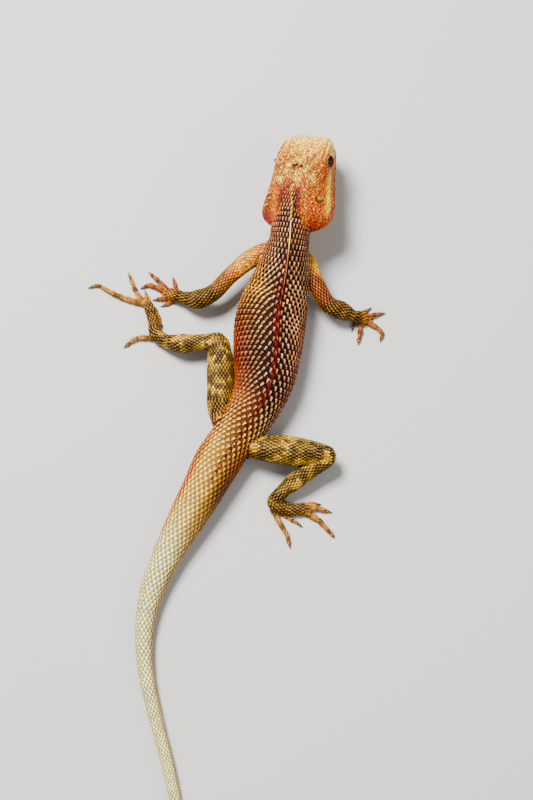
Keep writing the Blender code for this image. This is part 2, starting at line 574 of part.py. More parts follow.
def digit(line, root, tip, arch):
    """Rings of a finger or toe, and of its claw, along the line on the floor."""
    flat = np.array(line)
    span = np.linalg.norm(flat[-1] - flat[-2])
    flat[-1] -= (flat[-1] - flat[-2]) * (CLAW_REACH / span)
    reach = np.concatenate(([0.0], np.cumsum(np.linalg.norm(np.diff(flat, axis=0), axis=1))))
    share = reach / reach[-1]
    radius = root + (tip - root) * share
    high = radius * DIGIT_SEAT + arch * np.sin(math.pi * share)
    stations = np.column_stack((flat, high, radius, radius * 0.95))
    rings = tube_rings(stations, 6, len(flat) + 1)
    ahead = flat[-1] - flat[-2]
    ahead /= np.linalg.norm(ahead)
    end = np.array((*flat[-1], high[-1] + 0.15))
    fall = np.array(((0.0, 0.0), (0.55, -0.1), (1.0, -0.62)))
    places = end + np.column_stack((np.outer(fall[:, 0] * CLAW_LENGTH, ahead), fall[:, 1]))
    sizes = CLAW_RADIUS * np.array((1.0, 0.72, 0.3))
    claw = tube_rings(np.column_stack((places, sizes, sizes)), 4, 3)[1:-1]
    return rings, claw


def build_hands_and_feet():
    """Palms and soles with their fingers, toes and claws fused on, cut clear of the limb."""
    grows_from = {"hand": "forearm", "foot": "shin"}
    for name, stations in PALMS.items():
        part, side = name.split("_")
        colour = "arm" if part == "hand" else "leg"
        palm = shell(name, tube_rings(stations, 12, 7), colour)
        pieces = []
        for line, root, tip, arch in DIGITS[name]:
            for rings in digit(line, root, tip, arch):
                pieces.append(shell("digit", rings, colour))
        combine(palm, pieces, "UNION")
        limb = tube_rings(LIMBS[grows_from[part] + "_" + side], 14, 9, GAP, -1.0)
        combine(palm, [shell("cutter", limb, colour)], "DIFFERENCE")


def main():
    for old in list(bpy.data.objects):
        bpy.data.objects.remove(old)
    build_body()
    build_head()
    build_limbs()
    build_hands_and_feet()


main()
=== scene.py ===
"""Looks of the oriental garden lizard: one scaled skin, eyes, ear drums, claws, crest and light.

Sizes are millimetres in the part's working frame: +Y towards the head, +X to the animal's right, +Z
up from the floor at 0. Each surface is a grid of rings: a ring is the centre of its station plus
across and upward amounts times the station's right and over vectors. Trunk and head sections
are smooth closed curves through eight points, limb sections are ellipses. The rings are joined,
remeshed to one skin, eased and thinned. Scales stand in staggered rows on the same rings, moved to
the nearest skin.
"""
import math

import bmesh
import bpy
import numpy as np
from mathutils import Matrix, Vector
from mathutils.bvhtree import BVHTree

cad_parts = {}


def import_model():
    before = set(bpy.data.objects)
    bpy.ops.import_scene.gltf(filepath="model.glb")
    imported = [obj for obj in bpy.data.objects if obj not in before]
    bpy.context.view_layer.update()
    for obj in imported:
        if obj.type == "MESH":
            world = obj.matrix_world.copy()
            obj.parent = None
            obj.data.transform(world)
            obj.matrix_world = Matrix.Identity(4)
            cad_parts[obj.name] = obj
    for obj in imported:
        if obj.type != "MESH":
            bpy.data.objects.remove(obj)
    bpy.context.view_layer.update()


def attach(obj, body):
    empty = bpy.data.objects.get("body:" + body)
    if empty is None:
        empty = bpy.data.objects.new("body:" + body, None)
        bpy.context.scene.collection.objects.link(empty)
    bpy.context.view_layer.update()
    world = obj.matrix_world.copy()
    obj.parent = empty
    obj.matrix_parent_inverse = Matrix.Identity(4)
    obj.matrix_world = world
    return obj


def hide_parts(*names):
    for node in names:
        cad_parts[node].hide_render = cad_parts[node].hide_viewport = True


MM = 0.001
ORIGIN = np.array((-10.1, -90.9, 0.0))
UP = np.array((0.0, 0.0, 1.0))

# Stations of trunk and tail: x, y, z, half width, height over the centre, depth under it, lean.
SPINE = {
    "skull": (10.2, 64.0, 18.8, 5.6, 5.4, 5.6, -4.0),
    "nape": (8.5, 57.0, 19.0, 6.6, 7.0, 6.6, -1.0),
    "neck": (7.5, 50.0, 17.5, 6.7, 7.4, 7.0, 4.0),
    "shoulder": (6.0, 42.5, 14.2, 8.3, 8.3, 9.4, 9.0),
    "chest": (4.3, 35.5, 11.6, 10.1, 9.3, 11.8, 11.0),
    "ribs": (1.6, 25.0, 10.3, 11.7, 9.9, 10.7, 14.0),
    "belly": (0.6, 14.8, 9.9, 11.3, 9.5, 10.3, 17.0),
    "loin": (-0.5, 5.0, 9.1, 9.9, 8.7, 9.5, 17.0),
    "waist": (-2.9, -2.0, 8.3, 8.6, 7.9, 8.7, 17.0),
    "hip": (-6.9, -8.8, 7.9, 7.8, 7.5, 8.3, 17.0),
    "vent": (-11.5, -15.4, 7.6, 7.5, 7.2, 8.0, 17.0),
    "tail root": (-16.0, -22.3, 7.3, 7.7, 7.0, 7.7, 16.0),
    "tail base": (-20.6, -31.0, 6.7, 7.1, 6.5, 7.0, 14.0),
    "tail a": (-26.3, -41.2, 5.8, 6.2, 5.7, 6.0, 9.0),
    "tail b": (-32.6, -53.0, 4.8, 4.9, 4.8, 5.0, 5.0),
    "tail c": (-37.6, -65.0, 4.1, 4.1, 4.1, 4.3, 2.0),
    "tail d": (-39.8, -78.0, 3.3, 3.15, 3.3, 3.5, 0.0),
    "tail e": (-39.2, -90.5, 2.85, 2.75, 2.8, 3.0, 0.0),
    "tail f": (-35.8, -106.0, 2.5, 2.4, 2.45, 2.65, 0.0),
    "tail g": (-31.5, -122.0, 2.3, 2.2, 2.25, 2.45, 0.0),
    "tail h": (-27.8, -140.0, 2.05, 1.95, 2.0, 2.2, 0.0),
    "tail i": (-24.7, -162.0, 1.75, 1.7, 1.7, 1.9, 0.0),
    "tail j": (-24.0, -186.0, 1.45, 1.4, 1.4, 1.6, 0.0),
    "tail k": (-26.6, -212.0, 1.15, 1.1, 1.1, 1.3, 0.0),
    "tail l": (-31.6, -238.0, 0.85, 0.8, 0.8, 1.0, 0.0),
    "tail tip": (-38.0, -270.0, 0.45, 0.35, 0.35, 0.6, 0.0),
}
TRUNK_SECTION = np.array(((0.0, 1.0), (0.64, 0.74), (1.0, -0.02), (0.74, -0.78),
                          (0.0, -1.0), (-0.74, -0.78), (-1.0, -0.02), (-0.64, 0.74)))

# Head rows in its own frame, +Y ahead: distance, crown, brow edge, cheek, jaw edge, throat.
HEAD_ROWS = np.array((
    (-6.8, 3.4, 4.2, 2.6, 7.6, -2.0, 6.2, -5.4, -6.6),
    (-4.4, 5.2, 5.6, 4.4, 10.6, -2.4, 8.8, -6.6, -8.2),
    (-1.0, 7.1, 6.2, 6.2, 12.1, -2.6, 10.1, -7.2, -9.0),
    (3.0, 8.1, 6.7, 7.3, 12.1, -2.8, 9.9, -7.2, -9.0),
    (8.0, 8.7, 7.4, 8.0, 11.0, -2.2, 8.9, -6.6, -8.2),
    (13.0, 8.9, 8.1, 8.4, 9.9, -1.4, 7.8, -5.8, -7.3),
    (17.0, 8.6, 8.1, 8.2, 9.1, -1.2, 7.1, -5.3, -6.7),
    (20.5, 7.6, 7.7, 7.2, 8.2, -1.0, 6.4, -4.9, -6.2),
    (23.3, 6.0, 6.9, 5.5, 7.4, -0.9, 5.7, -4.5, -5.6),
    (25.5, 4.2, 5.6, 3.8, 5.9, -0.8, 4.5, -3.9, -4.8),
    (26.9, 2.4, 3.7, 2.0, 3.9, -0.8, 2.9, -2.8, -3.4),
))
HEAD_PLACE = np.array((9.5, 62.2, 19.2))
HEAD_YAW, HEAD_PITCH, HEAD_ROLL = np.radians((-16.5, -16.0, -18.0))
EYE_PLACE = np.array((6.7, 16.5, 3.3))
EYE_RADIUS = 2.7
LID_THICK = 0.7
LID_GAZE = np.array((0.78, -0.40, 0.48))
LID_OPENING = (1.75, 2.05)       # half breadth and half height
EAR_PLACE = np.array((9.1, 1.2, 3.5))
EAR_TILT = math.radians(38.0)
EAR_FACING = np.array((math.cos(EAR_TILT), 0.0, math.sin(EAR_TILT)))
EAR_RADIUS = 1.25
MOUTH = np.array(((3.6, -4.6), (6.5, -4.1), (12.0, -3.2), (20.0, -2.6), (26.8, -2.0)))
LIP_LIFT = 0.85                 # height of the upper lip over the mouth's line
PLATE_LIFT = 0.6                # height of its row of plates
NOSTRIL_PLACE = (24.3, 1.9)

# Limbs from the trunk to the wrist or ankle and over the palm or sole: x, y, z, half breadth and height.
LIMBS = {
    "arm left": ((2.4, 48.8, 11.8, 3.6, 3.6), (-4.7, 46.2, 10.8, 3.4, 3.4), (-11.9, 40.4, 10.4, 2.9, 3.0),
                 (-18.5, 34.3, 8.7, 3.05, 3.0), (-23.0, 33.1, 6.4, 3.4, 2.8), (-28.7, 34.7, 3.4, 2.15, 1.95),
                 (-31.4, 35.9, 2.0, 2.4, 1.7), (-33.2, 36.6, 1.3, 2.0, 1.4)),
    "arm right": ((10.5, 48.4, 10.6, 3.0, 3.0), (12.9, 45.2, 10.4, 3.3, 3.3), (16.8, 37.2, 9.8, 2.9, 3.0),
                  (21.2, 30.6, 7.7, 3.0, 3.0), (25.2, 29.3, 5.8, 3.3, 2.8), (29.8, 28.0, 3.4, 2.05, 1.95),
                  (32.0, 27.9, 2.0, 2.4, 1.7), (33.4, 27.7, 1.3, 2.0, 1.4)),
    "leg left": ((-12.8, -13.0, 7.8, 2.8, 3.4), (-15.5, -5.6, 8.3, 3.9, 3.9), (-15.3, 3.0, 8.8, 4.5, 4.2),
                 (-15.4, 11.0, 9.0, 4.4, 4.1), (-15.6, 16.6, 8.4, 3.7, 3.6)),
    "shin left": ((-16.4, 17.9, 8.1, 3.4, 3.3), (-22.6, 18.1, 6.8, 2.9, 2.9), (-28.4, 18.1, 5.4, 3.4, 3.1),
                  (-34.1, 19.7, 3.6, 2.35, 2.25), (-36.9, 22.0, 2.7, 2.4, 2.1), (-38.0, 26.6, 1.8, 2.0, 1.7),
                  (-39.8, 32.0, 1.3, 1.8, 1.4)),
    "leg right": ((-7.5, -17.6, 7.8, 3.0, 3.4), (1.2, -18.3, 8.6, 4.6, 4.1), (8.0, -19.0, 8.9, 5.0, 4.3),
                  (14.4, -19.5, 8.6, 4.2, 3.9), (19.3, -20.2, 8.0, 3.5, 3.4)),
    "shin right": ((19.6, -21.2, 7.5, 3.3, 3.1), (14.4, -24.8, 6.5, 3.1, 3.0), (9.7, -28.2, 5.5, 3.1, 3.0),
                   (5.0, -32.0, 3.8, 2.45, 2.35), (2.2, -35.2, 2.7, 2.4, 2.1), (6.4, -37.0, 1.8, 2.4, 1.7),
                   (12.2, -37.2, 1.3, 2.2, 1.4)),
}
# Digits: their line on the floor, radii at root and tip, and height of the arch.
DIGITS = {
    "hand_left": (
        (((-30.4, 37.4), (-31.0, 40.0), (-31.6, 42.2)), 0.95, 0.65, 0.3),
        (((-33.0, 37.4), (-36.6, 41.0), (-39.6, 43.9)), 1.0, 0.7, 0.5),
        (((-33.4, 36.8), (-37.4, 38.7), (-40.0, 39.5), (-42.2, 38.5)), 1.05, 0.7, 0.7),
        (((-32.2, 35.2), (-35.6, 34.7), (-38.0, 34.4)), 1.05, 0.75, 0.3),
        (((-31.0, 34.2), (-33.4, 32.9), (-35.2, 32.3)), 0.85, 0.6, 0.2),
    ),
    "hand_right": (
        (((32.0, 29.4), (33.8, 30.7), (35.0, 31.5)), 0.95, 0.65, 0.3),
        (((33.6, 28.4), (36.8, 29.2), (39.6, 29.8)), 1.0, 0.7, 0.5),
        (((33.2, 26.8), (37.6, 24.2), (39.0, 22.0), (38.0, 20.6)), 1.05, 0.7, 0.6),
        (((31.6, 26.2), (31.4, 22.8), (30.8, 19.4)), 1.05, 0.7, 0.4),
        (((30.2, 26.6), (29.2, 25.2), (29.0, 24.0)), 0.85, 0.6, 0.2),
    ),
    "foot_left": (
        (((-35.8, 25.4), (-36.6, 29.0), (-37.6, 31.8)), 0.9, 0.65, 0.2),
        (((-39.2, 32.2), (-40.3, 35.2), (-41.0, 37.4)), 1.0, 0.65, 0.3),
        (((-41.2, 33.2), (-44.1, 37.2), (-45.4, 40.4), (-46.6, 43.6)), 1.05, 0.65, 0.4),
        (((-40.8, 32.8), (-48.9, 35.2), (-53.2, 37.3), (-57.4, 39.4), (-59.8, 38.7)), 1.15, 0.65, 0.4),
        (((-38.6, 21.2), (-44.0, 20.8), (-47.7, 18.2)), 1.05, 0.7, 0.3),
    ),
    "foot_right": (
        (((6.2, -39.2), (8.8, -41.0), (10.6, -41.9), (10.7, -43.2)), 0.75, 0.55, 0.2),
        (((12.0, -35.8), (15.2, -35.2), (17.6, -35.4)), 0.95, 0.65, 0.4),
        (((12.6, -36.4), (17.0, -36.9), (21.2, -38.0)), 1.1, 0.75, 0.5),
        (((12.8, -38.2), (17.0, -40.6), (19.7, -43.4), (22.2, -46.2)), 1.15, 0.75, 0.5),
        (((2.2, -37.4), (4.6, -42.0), (6.8, -46.0), (7.7, -49.6)), 1.1, 0.7, 0.4),
    ),
}
DIGIT_SEAT = 0.78               # height of a digit's centre in its radii
CLAW_REACH = 1.2                # how far the claw reaches past the digit's flesh
CLAW_LENGTH = 1.9
CLAW_RADIUS = 0.42
# Rows of a claw: share of its length, height over its root in millimetres, share of its radius.
CLAW_ROWS = np.array(((0.0, 0.0, 1.0), (0.3, 0.08, 0.95), (0.55, -0.02, 0.75), (0.8, -0.25, 0.42),
                      (1.0, -0.58, 0.08)))

COAT = 0.22                     # how far the skin lies inside the solids
DIGIT_COAT = 0.08               # the same on the digits
GRANULE = 0.95                  # breadth of the granules on the head
LID_SCALE = 0.55                # breadth of the scales on the lids
LIMB_SCALE = 1.12               # breadth of the scales on the limbs
DIGIT_SCALE = 0.72              # breadth of the scales on the digits
UNWRAPPED = 0.0025              # size of a scale on the baking map
VOXEL = 0.34                    # edge of the skin's remeshed faces
SKIN_KEPT = 0.5                 # share of the skin's triangles that is kept


def linear(*colour):
    """Paint colour 0..255 as linear light."""
    c = np.array(colour) / 255.0
    return np.where(c <= 0.04045, c / 12.92, ((c + 0.055) / 1.055) ** 2.4)


WHITE = linear(255, 248, 200)
CREAM = linear(255, 232, 122)
BLUSH = linear(255, 200, 136)
STRAW = linear(250, 196, 62)
YELLOW = linear(255, 214, 0)
GOLD = linear(215, 150, 40)
AMBER = linear(190, 108, 14)
ORANGE = linear(190, 66, 8)
FLAME = linear(222, 84, 10)
RED = linear(142, 26, 12)
BRICK = linear(112, 38, 20)
RUST = linear(98, 42, 22)
BROWN = linear(58, 27, 15)
DARK = linear(25, 13, 8)
TAN = linear(160, 100, 44)
OLIVE = linear(112, 92, 36)
SLATE = linear(35, 31, 24)
PINK = linear(214, 118, 66)
MAUVE = linear(224, 136, 104)
NET = linear(73, 58, 26)
CLAW = linear(46, 30, 20)
FLOOR = linear(178, 177, 174)
DEPTH = 1.25                    # power that deepens the paints against the view's paling of bright ones

# Places on the crown in the head's frame: dark dots, and pale patches with their sizes.
CROWN_DOTS = ((-0.8, 10.2), (1.4, 10.1))
CROWN_PATCHES = ((1.8, 7.1, 1.0), (6.0, 6.4, 1.3), (-4.7, 4.4, 1.5), (1.2, 5.4, 1.6), (-3.4, 7.6, 1.2),
                 (0.4, 12.4, 1.4), (3.6, 9.4, 0.9), (-2.6, 10.8, 0.9))
CREST_START = 8.2
CREST_LENGTH = 3.9
CREST_RADIUS = (0.68, 0.3)
PUPIL_EDGE = (0.54, 0.57)       # angles from the gaze, in radians
IRIS_EDGE = (0.66, 0.72)
# Distance ahead and height of the spines by each ear, and their ways.
EAR_SPINES = (((-3.0, 3.2), (0.50, -0.72, 0.48)), ((0.2, 5.4), (0.62, -0.55, 0.56)),
              ((-1.6, 4.9), (0.50, -0.66, 0.55)))
EAR_SPINE_LENGTHS = (1.6, 1.3, 1.0)
EAR_SPINE_RADII = (0.30, 0.20)

CAMERA_ELEVATION = 78.0
CAMERA_DISTANCE = 750.0
CAMERA_LENS = 100.9
LIGHT_AIM = Vector((0.0, 0.03, 0.01))
# Place, size and power of each soft light.
LIGHTS = (((-0.28, 0.42, 0.78), 0.30, 31.0), ((0.7, -0.2, 0.7), 0.7, 4.5))
SKY_TINT = (0.95, 0.97, 1.0, 1.0)
SKY_STRENGTH = 0.40
FLOOR_CORNERS = np.array(((-900, -900, -0.05), (900, -900, -0.05), (900, 900, -0.05), (-900, 900, -0.05)))
RANDOM = np.random.default_rng(11)


def mix(a, b, part):
    """Blend of two colours or colour arrays by a share for each place."""
    part = np.clip(part, 0.0, 1.0)[..., None]
    return np.asarray(a) * (1.0 - part) + np.asarray(b) * part


def ramp(value, start, end):
    """Smooth step from 0 at start to 1 at end, which may be the lower of the two."""
    t = np.clip((value - start) / (end - start), 0.0, 1.0)
    return t * t * (3.0 - 2.0 * t)


def bell(value, width):
    """Share of 1 at value 0 that fades both ways: e to the power of minus (value / width) squared."""
    return np.exp(-(value / width) ** 2)


def layered(colour, *layers):
    """Colour with other colours laid over it in turn, each by its share for each place."""
    for over, share in layers:
        colour = mix(colour, over, share)
    return colour


def blotch(points, size, seed):
    """Smooth uneven pattern: a half plus a fifth of the sum of six sine waves in mixed directions,
    kept between 0 and 1."""
    draw = np.random.default_rng(seed)
    total = 0.0
    for _ in range(6):
        way = draw.normal(size=3)
        way *= draw.uniform(0.7, 1.6) * 2.0 * math.pi / size / np.linalg.norm(way)
        total = total + np.sin(points @ way + draw.uniform(0.0, 6.28))
    return np.clip(0.5 + total / 5.0, 0.0, 1.0)


def unit(vectors):
    """Vectors brought to length 1."""
    return vectors / np.linalg.norm(vectors, axis=-1, keepdims=True)


def circle(count):
    """Angles spread evenly round a circle."""
    return np.arange(count) * 2.0 * math.pi / count


def plane_turn(angle, first, second):
    """Matrix of a turn by that angle from the first axis towards the second."""
    turn = np.eye(3)
    turn[first, first] = turn[second, second] = math.cos(angle)
    turn[second, first], turn[first, second] = math.sin(angle), -math.sin(angle)
    return turn


def spline(keys, rows, at):
    """Values of a smooth curve through the rows at their keys, read at the places given."""
    slopes = np.gradient(rows, keys, axis=0)
    here = np.clip(np.searchsorted(keys, at, side="right") - 1, 0, len(keys) - 2)
    step = (keys[here + 1] - keys[here])[:, None]
    part = (at - keys[here])[:, None] / step
    rise = part * part * (3.0 - 2.0 * part)
    return (rows[here] * (1.0 - rise) + rows[here + 1] * rise
            + slopes[here] * part * (1.0 - part) ** 2 * step
            + slopes[here + 1] * part * part * (part - 1.0) * step)


def along(rows):
    """Distance of each station from the first, measured through their centres."""
    steps = np.linalg.norm(np.diff(rows[:, :3], axis=0), axis=1)
    return np.concatenate(([0.0], np.cumsum(steps)))


def closed_curve(points, steps):
    """Catmull-Rom curve round the points (rows, points, 2), with that many places on each span."""
    before, after = np.roll(points, 1, axis=1), np.roll(points, -1, axis=1)
    beyond = np.roll(points, -2, axis=1)
    part = (np.arange(steps) / steps)[None, None, :, None]
    p0, p1, p2, p3 = (p[:, :, None, :] for p in (before, points, after, beyond))
    curve = 0.5 * (2.0 * p1 + (p2 - p0) * part + (2.0 * p0 - 5.0 * p1 + 4.0 * p2 - p3) * part ** 2
                   + (3.0 * p1 - p0 - 3.0 * p2 + p3) * part ** 3)
    return curve.reshape(len(points), -1, 2)


def framed(directions, lean):
    """Unit vectors to the right of and over a line that runs in the directions, leaned right."""
    ahead = unit(directions)
    right = unit(np.cross(ahead, UP))
    over = np.cross(right, ahead)
    lean = np.radians(lean)[:, None]
    return right * np.cos(lean) - over * np.sin(lean), over * np.cos(lean) + right * np.sin(lean)


SPINE_ROWS = np.array(list(SPINE.values()))
SPINE_AT = along(SPINE_ROWS)
STATION = dict(zip(SPINE, SPINE_AT))
WAIST, HIP, VENT, ROOT, BASE = (STATION[name] for name in ("waist", "hip", "vent", "tail root", "tail base"))


def trunk_frame(at):
    """Stations, right and over vectors of the trunk at distances from the skull station."""
    rows = spline(SPINE_AT, SPINE_ROWS, at)
    ahead = spline(SPINE_AT, SPINE_ROWS, at - 0.5)[:, :3] - spline(SPINE_AT, SPINE_ROWS, at + 0.5)[:, :3]
    right, over = framed(ahead, rows[:, 6])
    return rows, right, over


def trunk_rings(at, steps):
    """Closed sections of the trunk's skin at those distances, pressed flat where they reach the floor."""
    rows, right, over = trunk_frame(at)
    rows[:, 3:6] -= COAT
    tall = np.where(TRUNK_SECTION[:, 1] > 0.0, rows[:, 4:5], rows[:, 5:6])
    points = np.stack((TRUNK_SECTION[:, 0] * rows[:, 3:4], TRUNK_SECTION[:, 1] * tall), axis=-1)
    curve = closed_curve(points, steps)
    rings = rows[:, None, :3] + curve[:, :, :1] * right[:, None] + curve[:, :, 1:] * over[:, None]
    rings[:, :, 2] = np.maximum(rings[:, :, 2], 0.0)
    return rings


def head_rings(at, steps, grow=0.0):
    """Closed sections of the head in its own frame at those distances ahead of its origin."""
    rows = spline(HEAD_ROWS[:, 0], HEAD_ROWS, at)
    half = np.insert(rows[:, 1:], (0, 7), 0.0, axis=1).reshape(-1, 5, 2)
    curve = closed_curve(np.concatenate((half, half[:, 3:0:-1] * (-1.0, 1.0)), axis=1), steps)
    curve = curve * (1.0 + grow / np.linalg.norm(curve, axis=-1, keepdims=True))
    return np.insert(curve, 1, at[:, None], axis=2)


# The head is rolled, then pitched, then turned.
HEAD_TURN = plane_turn(HEAD_YAW, 0, 1) @ plane_turn(HEAD_PITCH, 1, 2) @ plane_turn(HEAD_ROLL, 2, 0)


def from_head(points):
    """Points of the head's frame in the working frame."""
    return np.asarray(points) @ HEAD_TURN.T + HEAD_PLACE


def to_head(points):
    """Points of the working frame in the head's own."""
    return (points - HEAD_PLACE) @ HEAD_TURN


def head_side(at, heights):
    """Places on the head's right side at those distances ahead and heights."""
    at, heights = np.atleast_1d(at).astype(float), np.atleast_1d(heights)
    rings = head_rings(at, 16)[:, :4 * 16 + 1]
    across = [np.interp(-h, -ring[:, 2], ring[:, 0]) for h, ring in zip(heights, rings)]
    return np.column_stack((across, at, heights))


NOSTRIL = head_side(*NOSTRIL_PLACE)[0]


def folded(local):
    """Places of the head's frame with those on its left moved over to the right."""
    return np.column_stack((np.abs(local[:, 0]), local[:, 1:]))


def cap(station, way, angle):
    """Stations at those angles that round a limb piece off beyond its end station."""
    rows = np.repeat(station[None], len(angle), axis=0)
    rows[:, :3] += way * (station[3] * np.sin(angle))[:, None]
    rows[:, 3:] *= np.cos(angle)[:, None]
    return rows


def tube_frame(stations, count):
    """Stations read evenly along a limb piece, with right and over vectors, and ends rounded off."""
    rows = np.array(stations, dtype=float)
    keys = along(rows)
    body = spline(keys, rows, np.linspace(0.0, keys[-1], count))
    ahead = unit(np.gradient(body[:, :3], axis=0))
    angle = np.radians((80.0, 60.0, 40.0, 20.0))
    rows = np.vstack((cap(body[0], -ahead[0], angle), body, cap(body[-1], ahead[-1], angle[::-1])))
    ahead = np.pad(ahead, ((len(angle), len(angle)), (0, 0)), mode="edge")
    right, over = framed(ahead, np.zeros(len(rows)))
    return rows, right, over


def ellipses(centres, right, over, around):
    """Rings round the centres: cosine of the angle times right plus its sine times over."""
    turn = circle(around)[:, None]
    return centres[..., None, :] + np.cos(turn) * right[..., None, :] + np.sin(turn) * over[..., None, :]


def tube_rings(stations, around, count, grow=0.0):
    """Sections of a round-ended limb piece, grown all over by grow and kept over the floor."""
    rows, right, over = tube_frame(stations, count)
    rows[:, 3:] = np.maximum(rows[:, 3:] + grow, 0.05)
    rings = ellipses(rows[:, :3], right * rows[:, 3:4], over * rows[:, 4:5], around)
    rings[:, :, 2] = np.maximum(rings[:, :, 2], 0.0)
    return rings


def digit_stations(line, root, tip, arch):
    """Stations of a finger or toe along its line on the floor, swollen a little at the joints."""
    flat = np.array(line)
    flat[-1] -= (flat[-1] - flat[-2]) * (CLAW_REACH / np.linalg.norm(flat[-1] - flat[-2]))
    reach = along(flat)
    at = np.linspace(0.0, reach[-1], max(5, int(reach[-1])))
    flat = spline(reach, flat, at)
    share = at / reach[-1]
    radius = root + (tip - root) * share
    radius *= 1.0 + 0.10 * np.cos(2.0 * math.pi * at / 2.9)
    high = radius * DIGIT_SEAT + arch * np.sin(math.pi * share)
    return np.column_stack((flat, high, radius, radius * 0.95))


def placed(name, data):
    """Object of a mesh, light or camera, put in the scene."""
    made = bpy.data.objects.new(name, data)
    bpy.context.scene.collection.objects.link(made)
    return made


def mesh_object(name, points, faces, smooth=True):
    """Object from points in the working frame and an array or list of faces."""
    mesh = bpy.data.meshes.new(name)
    points = (np.asarray(points) - ORIGIN) * MM
    mesh.from_pydata(points.tolist(), [], faces if isinstance(faces, list) else faces.tolist())
    if smooth:
        mesh.shade_smooth()
    else:
        mesh.shade_flat()
    return placed(name, mesh)


def mesh_points(made):
    """Points of an object's mesh in the working frame."""
    points = np.empty(len(made.data.vertices) * 3)
    made.data.vertices.foreach_get("co", points)
    return points.reshape(-1, 3) / MM + ORIGIN


def band_faces(rows, around):
    """Four-sided faces between each ring of points and the next, and the points' numbers."""
    here = np.arange(rows * around).reshape(rows, around)
    beside = np.roll(here, -1, axis=1)
    return np.stack((here[:-1], beside[:-1], beside[1:], here[1:]), axis=-1).reshape(-1, 4), here


def ring_faces(rows, around):
    """Faces of a closed run of rings, then those to its two end points."""
    sides, here = band_faces(rows, around)
    beside = np.roll(here, -1, axis=1)
    first = np.stack((beside[0], here[0], np.full(around, rows * around)), axis=-1)
    last = np.stack((here[-1], beside[-1], np.full(around, rows * around + 1)), axis=-1)
    return sides.tolist() + first.tolist() + last.tolist()


def shell(name, rings):
    """Closed object from rings of points."""
    points = np.vstack((rings.reshape(-1, 3), rings[[0, -1]].mean(axis=1)))
    made = mesh_object(name, points, ring_faces(*rings.shape[:2]))
    outward(made)
    return made


def outward(made):
    """Turns every face of a closed object outward."""
    shape = bmesh.new()
    shape.from_mesh(made.data)
    bmesh.ops.recalc_face_normals(shape, faces=shape.faces)
    shape.to_mesh(made.data)
    shape.free()


def ball_rings(centre, radii, rows, around):
    """Ellipsoid rings in the head's frame with poles along its length."""
    turn = np.linspace(0.0, math.pi, rows + 2)[1:-1, None]
    spin = circle(around)
    return np.stack((np.sin(turn) * np.cos(spin) * radii[0], np.cos(turn) * np.ones(around) * radii[1],
                     np.sin(turn) * np.sin(spin) * radii[2]), axis=-1) + centre


def head_ball(name, centre, radius, rows, around):
    """Closed ball at a place in the head's frame."""
    return shell(name, from_head(ball_rings(centre, [radius] * 3, rows, around)))


def mouth_line(lift, outward_by, count):
    """Places along the mouth from its right corner round the snout to its left, and outward ways."""
    at = MOUTH[0, 0] + (MOUTH[-1, 0] - MOUTH[0, 0]) * np.sin(np.linspace(0.0, math.pi / 2.0, count))
    height = spline(MOUTH[:, 0], MOUTH[:, 1:], at)[:, 0] + lift
    right_side = head_side(at, height)
    line = np.vstack((right_side, right_side[::-1] * (-1.0, 1.0, 1.0)))
    out = unit(np.cross(np.gradient(line, axis=0), UP))
    return line + out * outward_by, out


def lip_rings(lift):
    """Rounded lip beside the mouth's line, mostly sunk in the head."""
    line, out = mouth_line(lift, -0.5, 24)
    radius = 0.8 * np.sin(np.linspace(0.12, math.pi - 0.12, len(line)))[:, None] ** 0.3
    return ellipses(line, out * radius, UP * radius, 8)


def mirrored(side):
    """Multiplier that takes a place on the head's right to the side given."""
    return np.array((side, 1.0, 1.0))


def build_skin():
    """One skin: trunk, head, limbs and digits remeshed together, with eyes, ears and nostrils cut in."""
    shells = [shell("trunk", trunk_rings(np.linspace(0.0, SPINE_AT[-1], 420), 8))]
    at = np.linspace(HEAD_ROWS[0, 0], HEAD_ROWS[-1, 0], 60)
    rings = np.concatenate((head_rings(at[:1] - 1.0, 8, -2.6), head_rings(at, 8, -COAT),
                            head_rings(at[-1:], 8, -1.4) + (0.0, 0.5, 0.0)))
    shells.append(shell("head", from_head(rings)))
    for lift in (LIP_LIFT, -LIP_LIFT):
        shells.append(shell("lip", from_head(lip_rings(lift))))
    for side in (1.0, -1.0):
        shells.append(head_ball("lid", mirrored(side) * EYE_PLACE, EYE_RADIUS + LID_THICK - 0.1, 16, 24))
    for stations in LIMBS.values():
        shells.append(shell("limb", tube_rings(stations, 24, 40, -COAT)))
    for fingers in DIGITS.values():
        for finger in fingers:
            shells.append(shell("digit", tube_rings(digit_stations(*finger), 12, 24, -DIGIT_COAT)))
    skin = join(shells, "skin")
    apply_modifier(skin, "REMESH", mode="VOXEL", voxel_size=VOXEL * MM, adaptivity=0.0)
    apply_modifier(skin, "SMOOTH", factor=0.5, iterations=5)
    apply_modifier(skin, "DECIMATE", ratio=SKIN_KEPT)
    cutters = []
    for side in (1.0, -1.0):
        eye, gaze = mirrored(side) * EYE_PLACE, mirrored(side) * LID_GAZE
        cutters.append(head_ball("socket", eye, EYE_RADIUS + 0.05, 20, 32))
        near, far = from_head(np.array((eye + gaze * 1.6, eye + gaze * 5.0)))
        opening = [(*place, *LID_OPENING) for place in (near, (near + far) / 2.0, far)]
        cutters.append(shell("opening", tube_rings(opening, 32, 4)))
        drum = mirrored(side) * (EAR_PLACE + 0.5 * EAR_FACING)
        cutters.append(shell("cup", ear_rings(drum, side, (0.9, EAR_RADIUS + 0.15), 12, 28)))
        cutters.append(head_ball("nostril", mirrored(side) * NOSTRIL, 0.62, 8, 12))
    cut(skin, cutters)
    return skin


def ear_rings(centre, side, radii, rows, around):
    """Flat ellipsoid that faces as the ear drum does: half thickness and radius."""
    rings = ball_rings(np.zeros(3), (radii[0], radii[1], radii[1]), rows, around)
    return from_head(rings @ plane_turn(EAR_TILT * side, 2, 0) + centre)


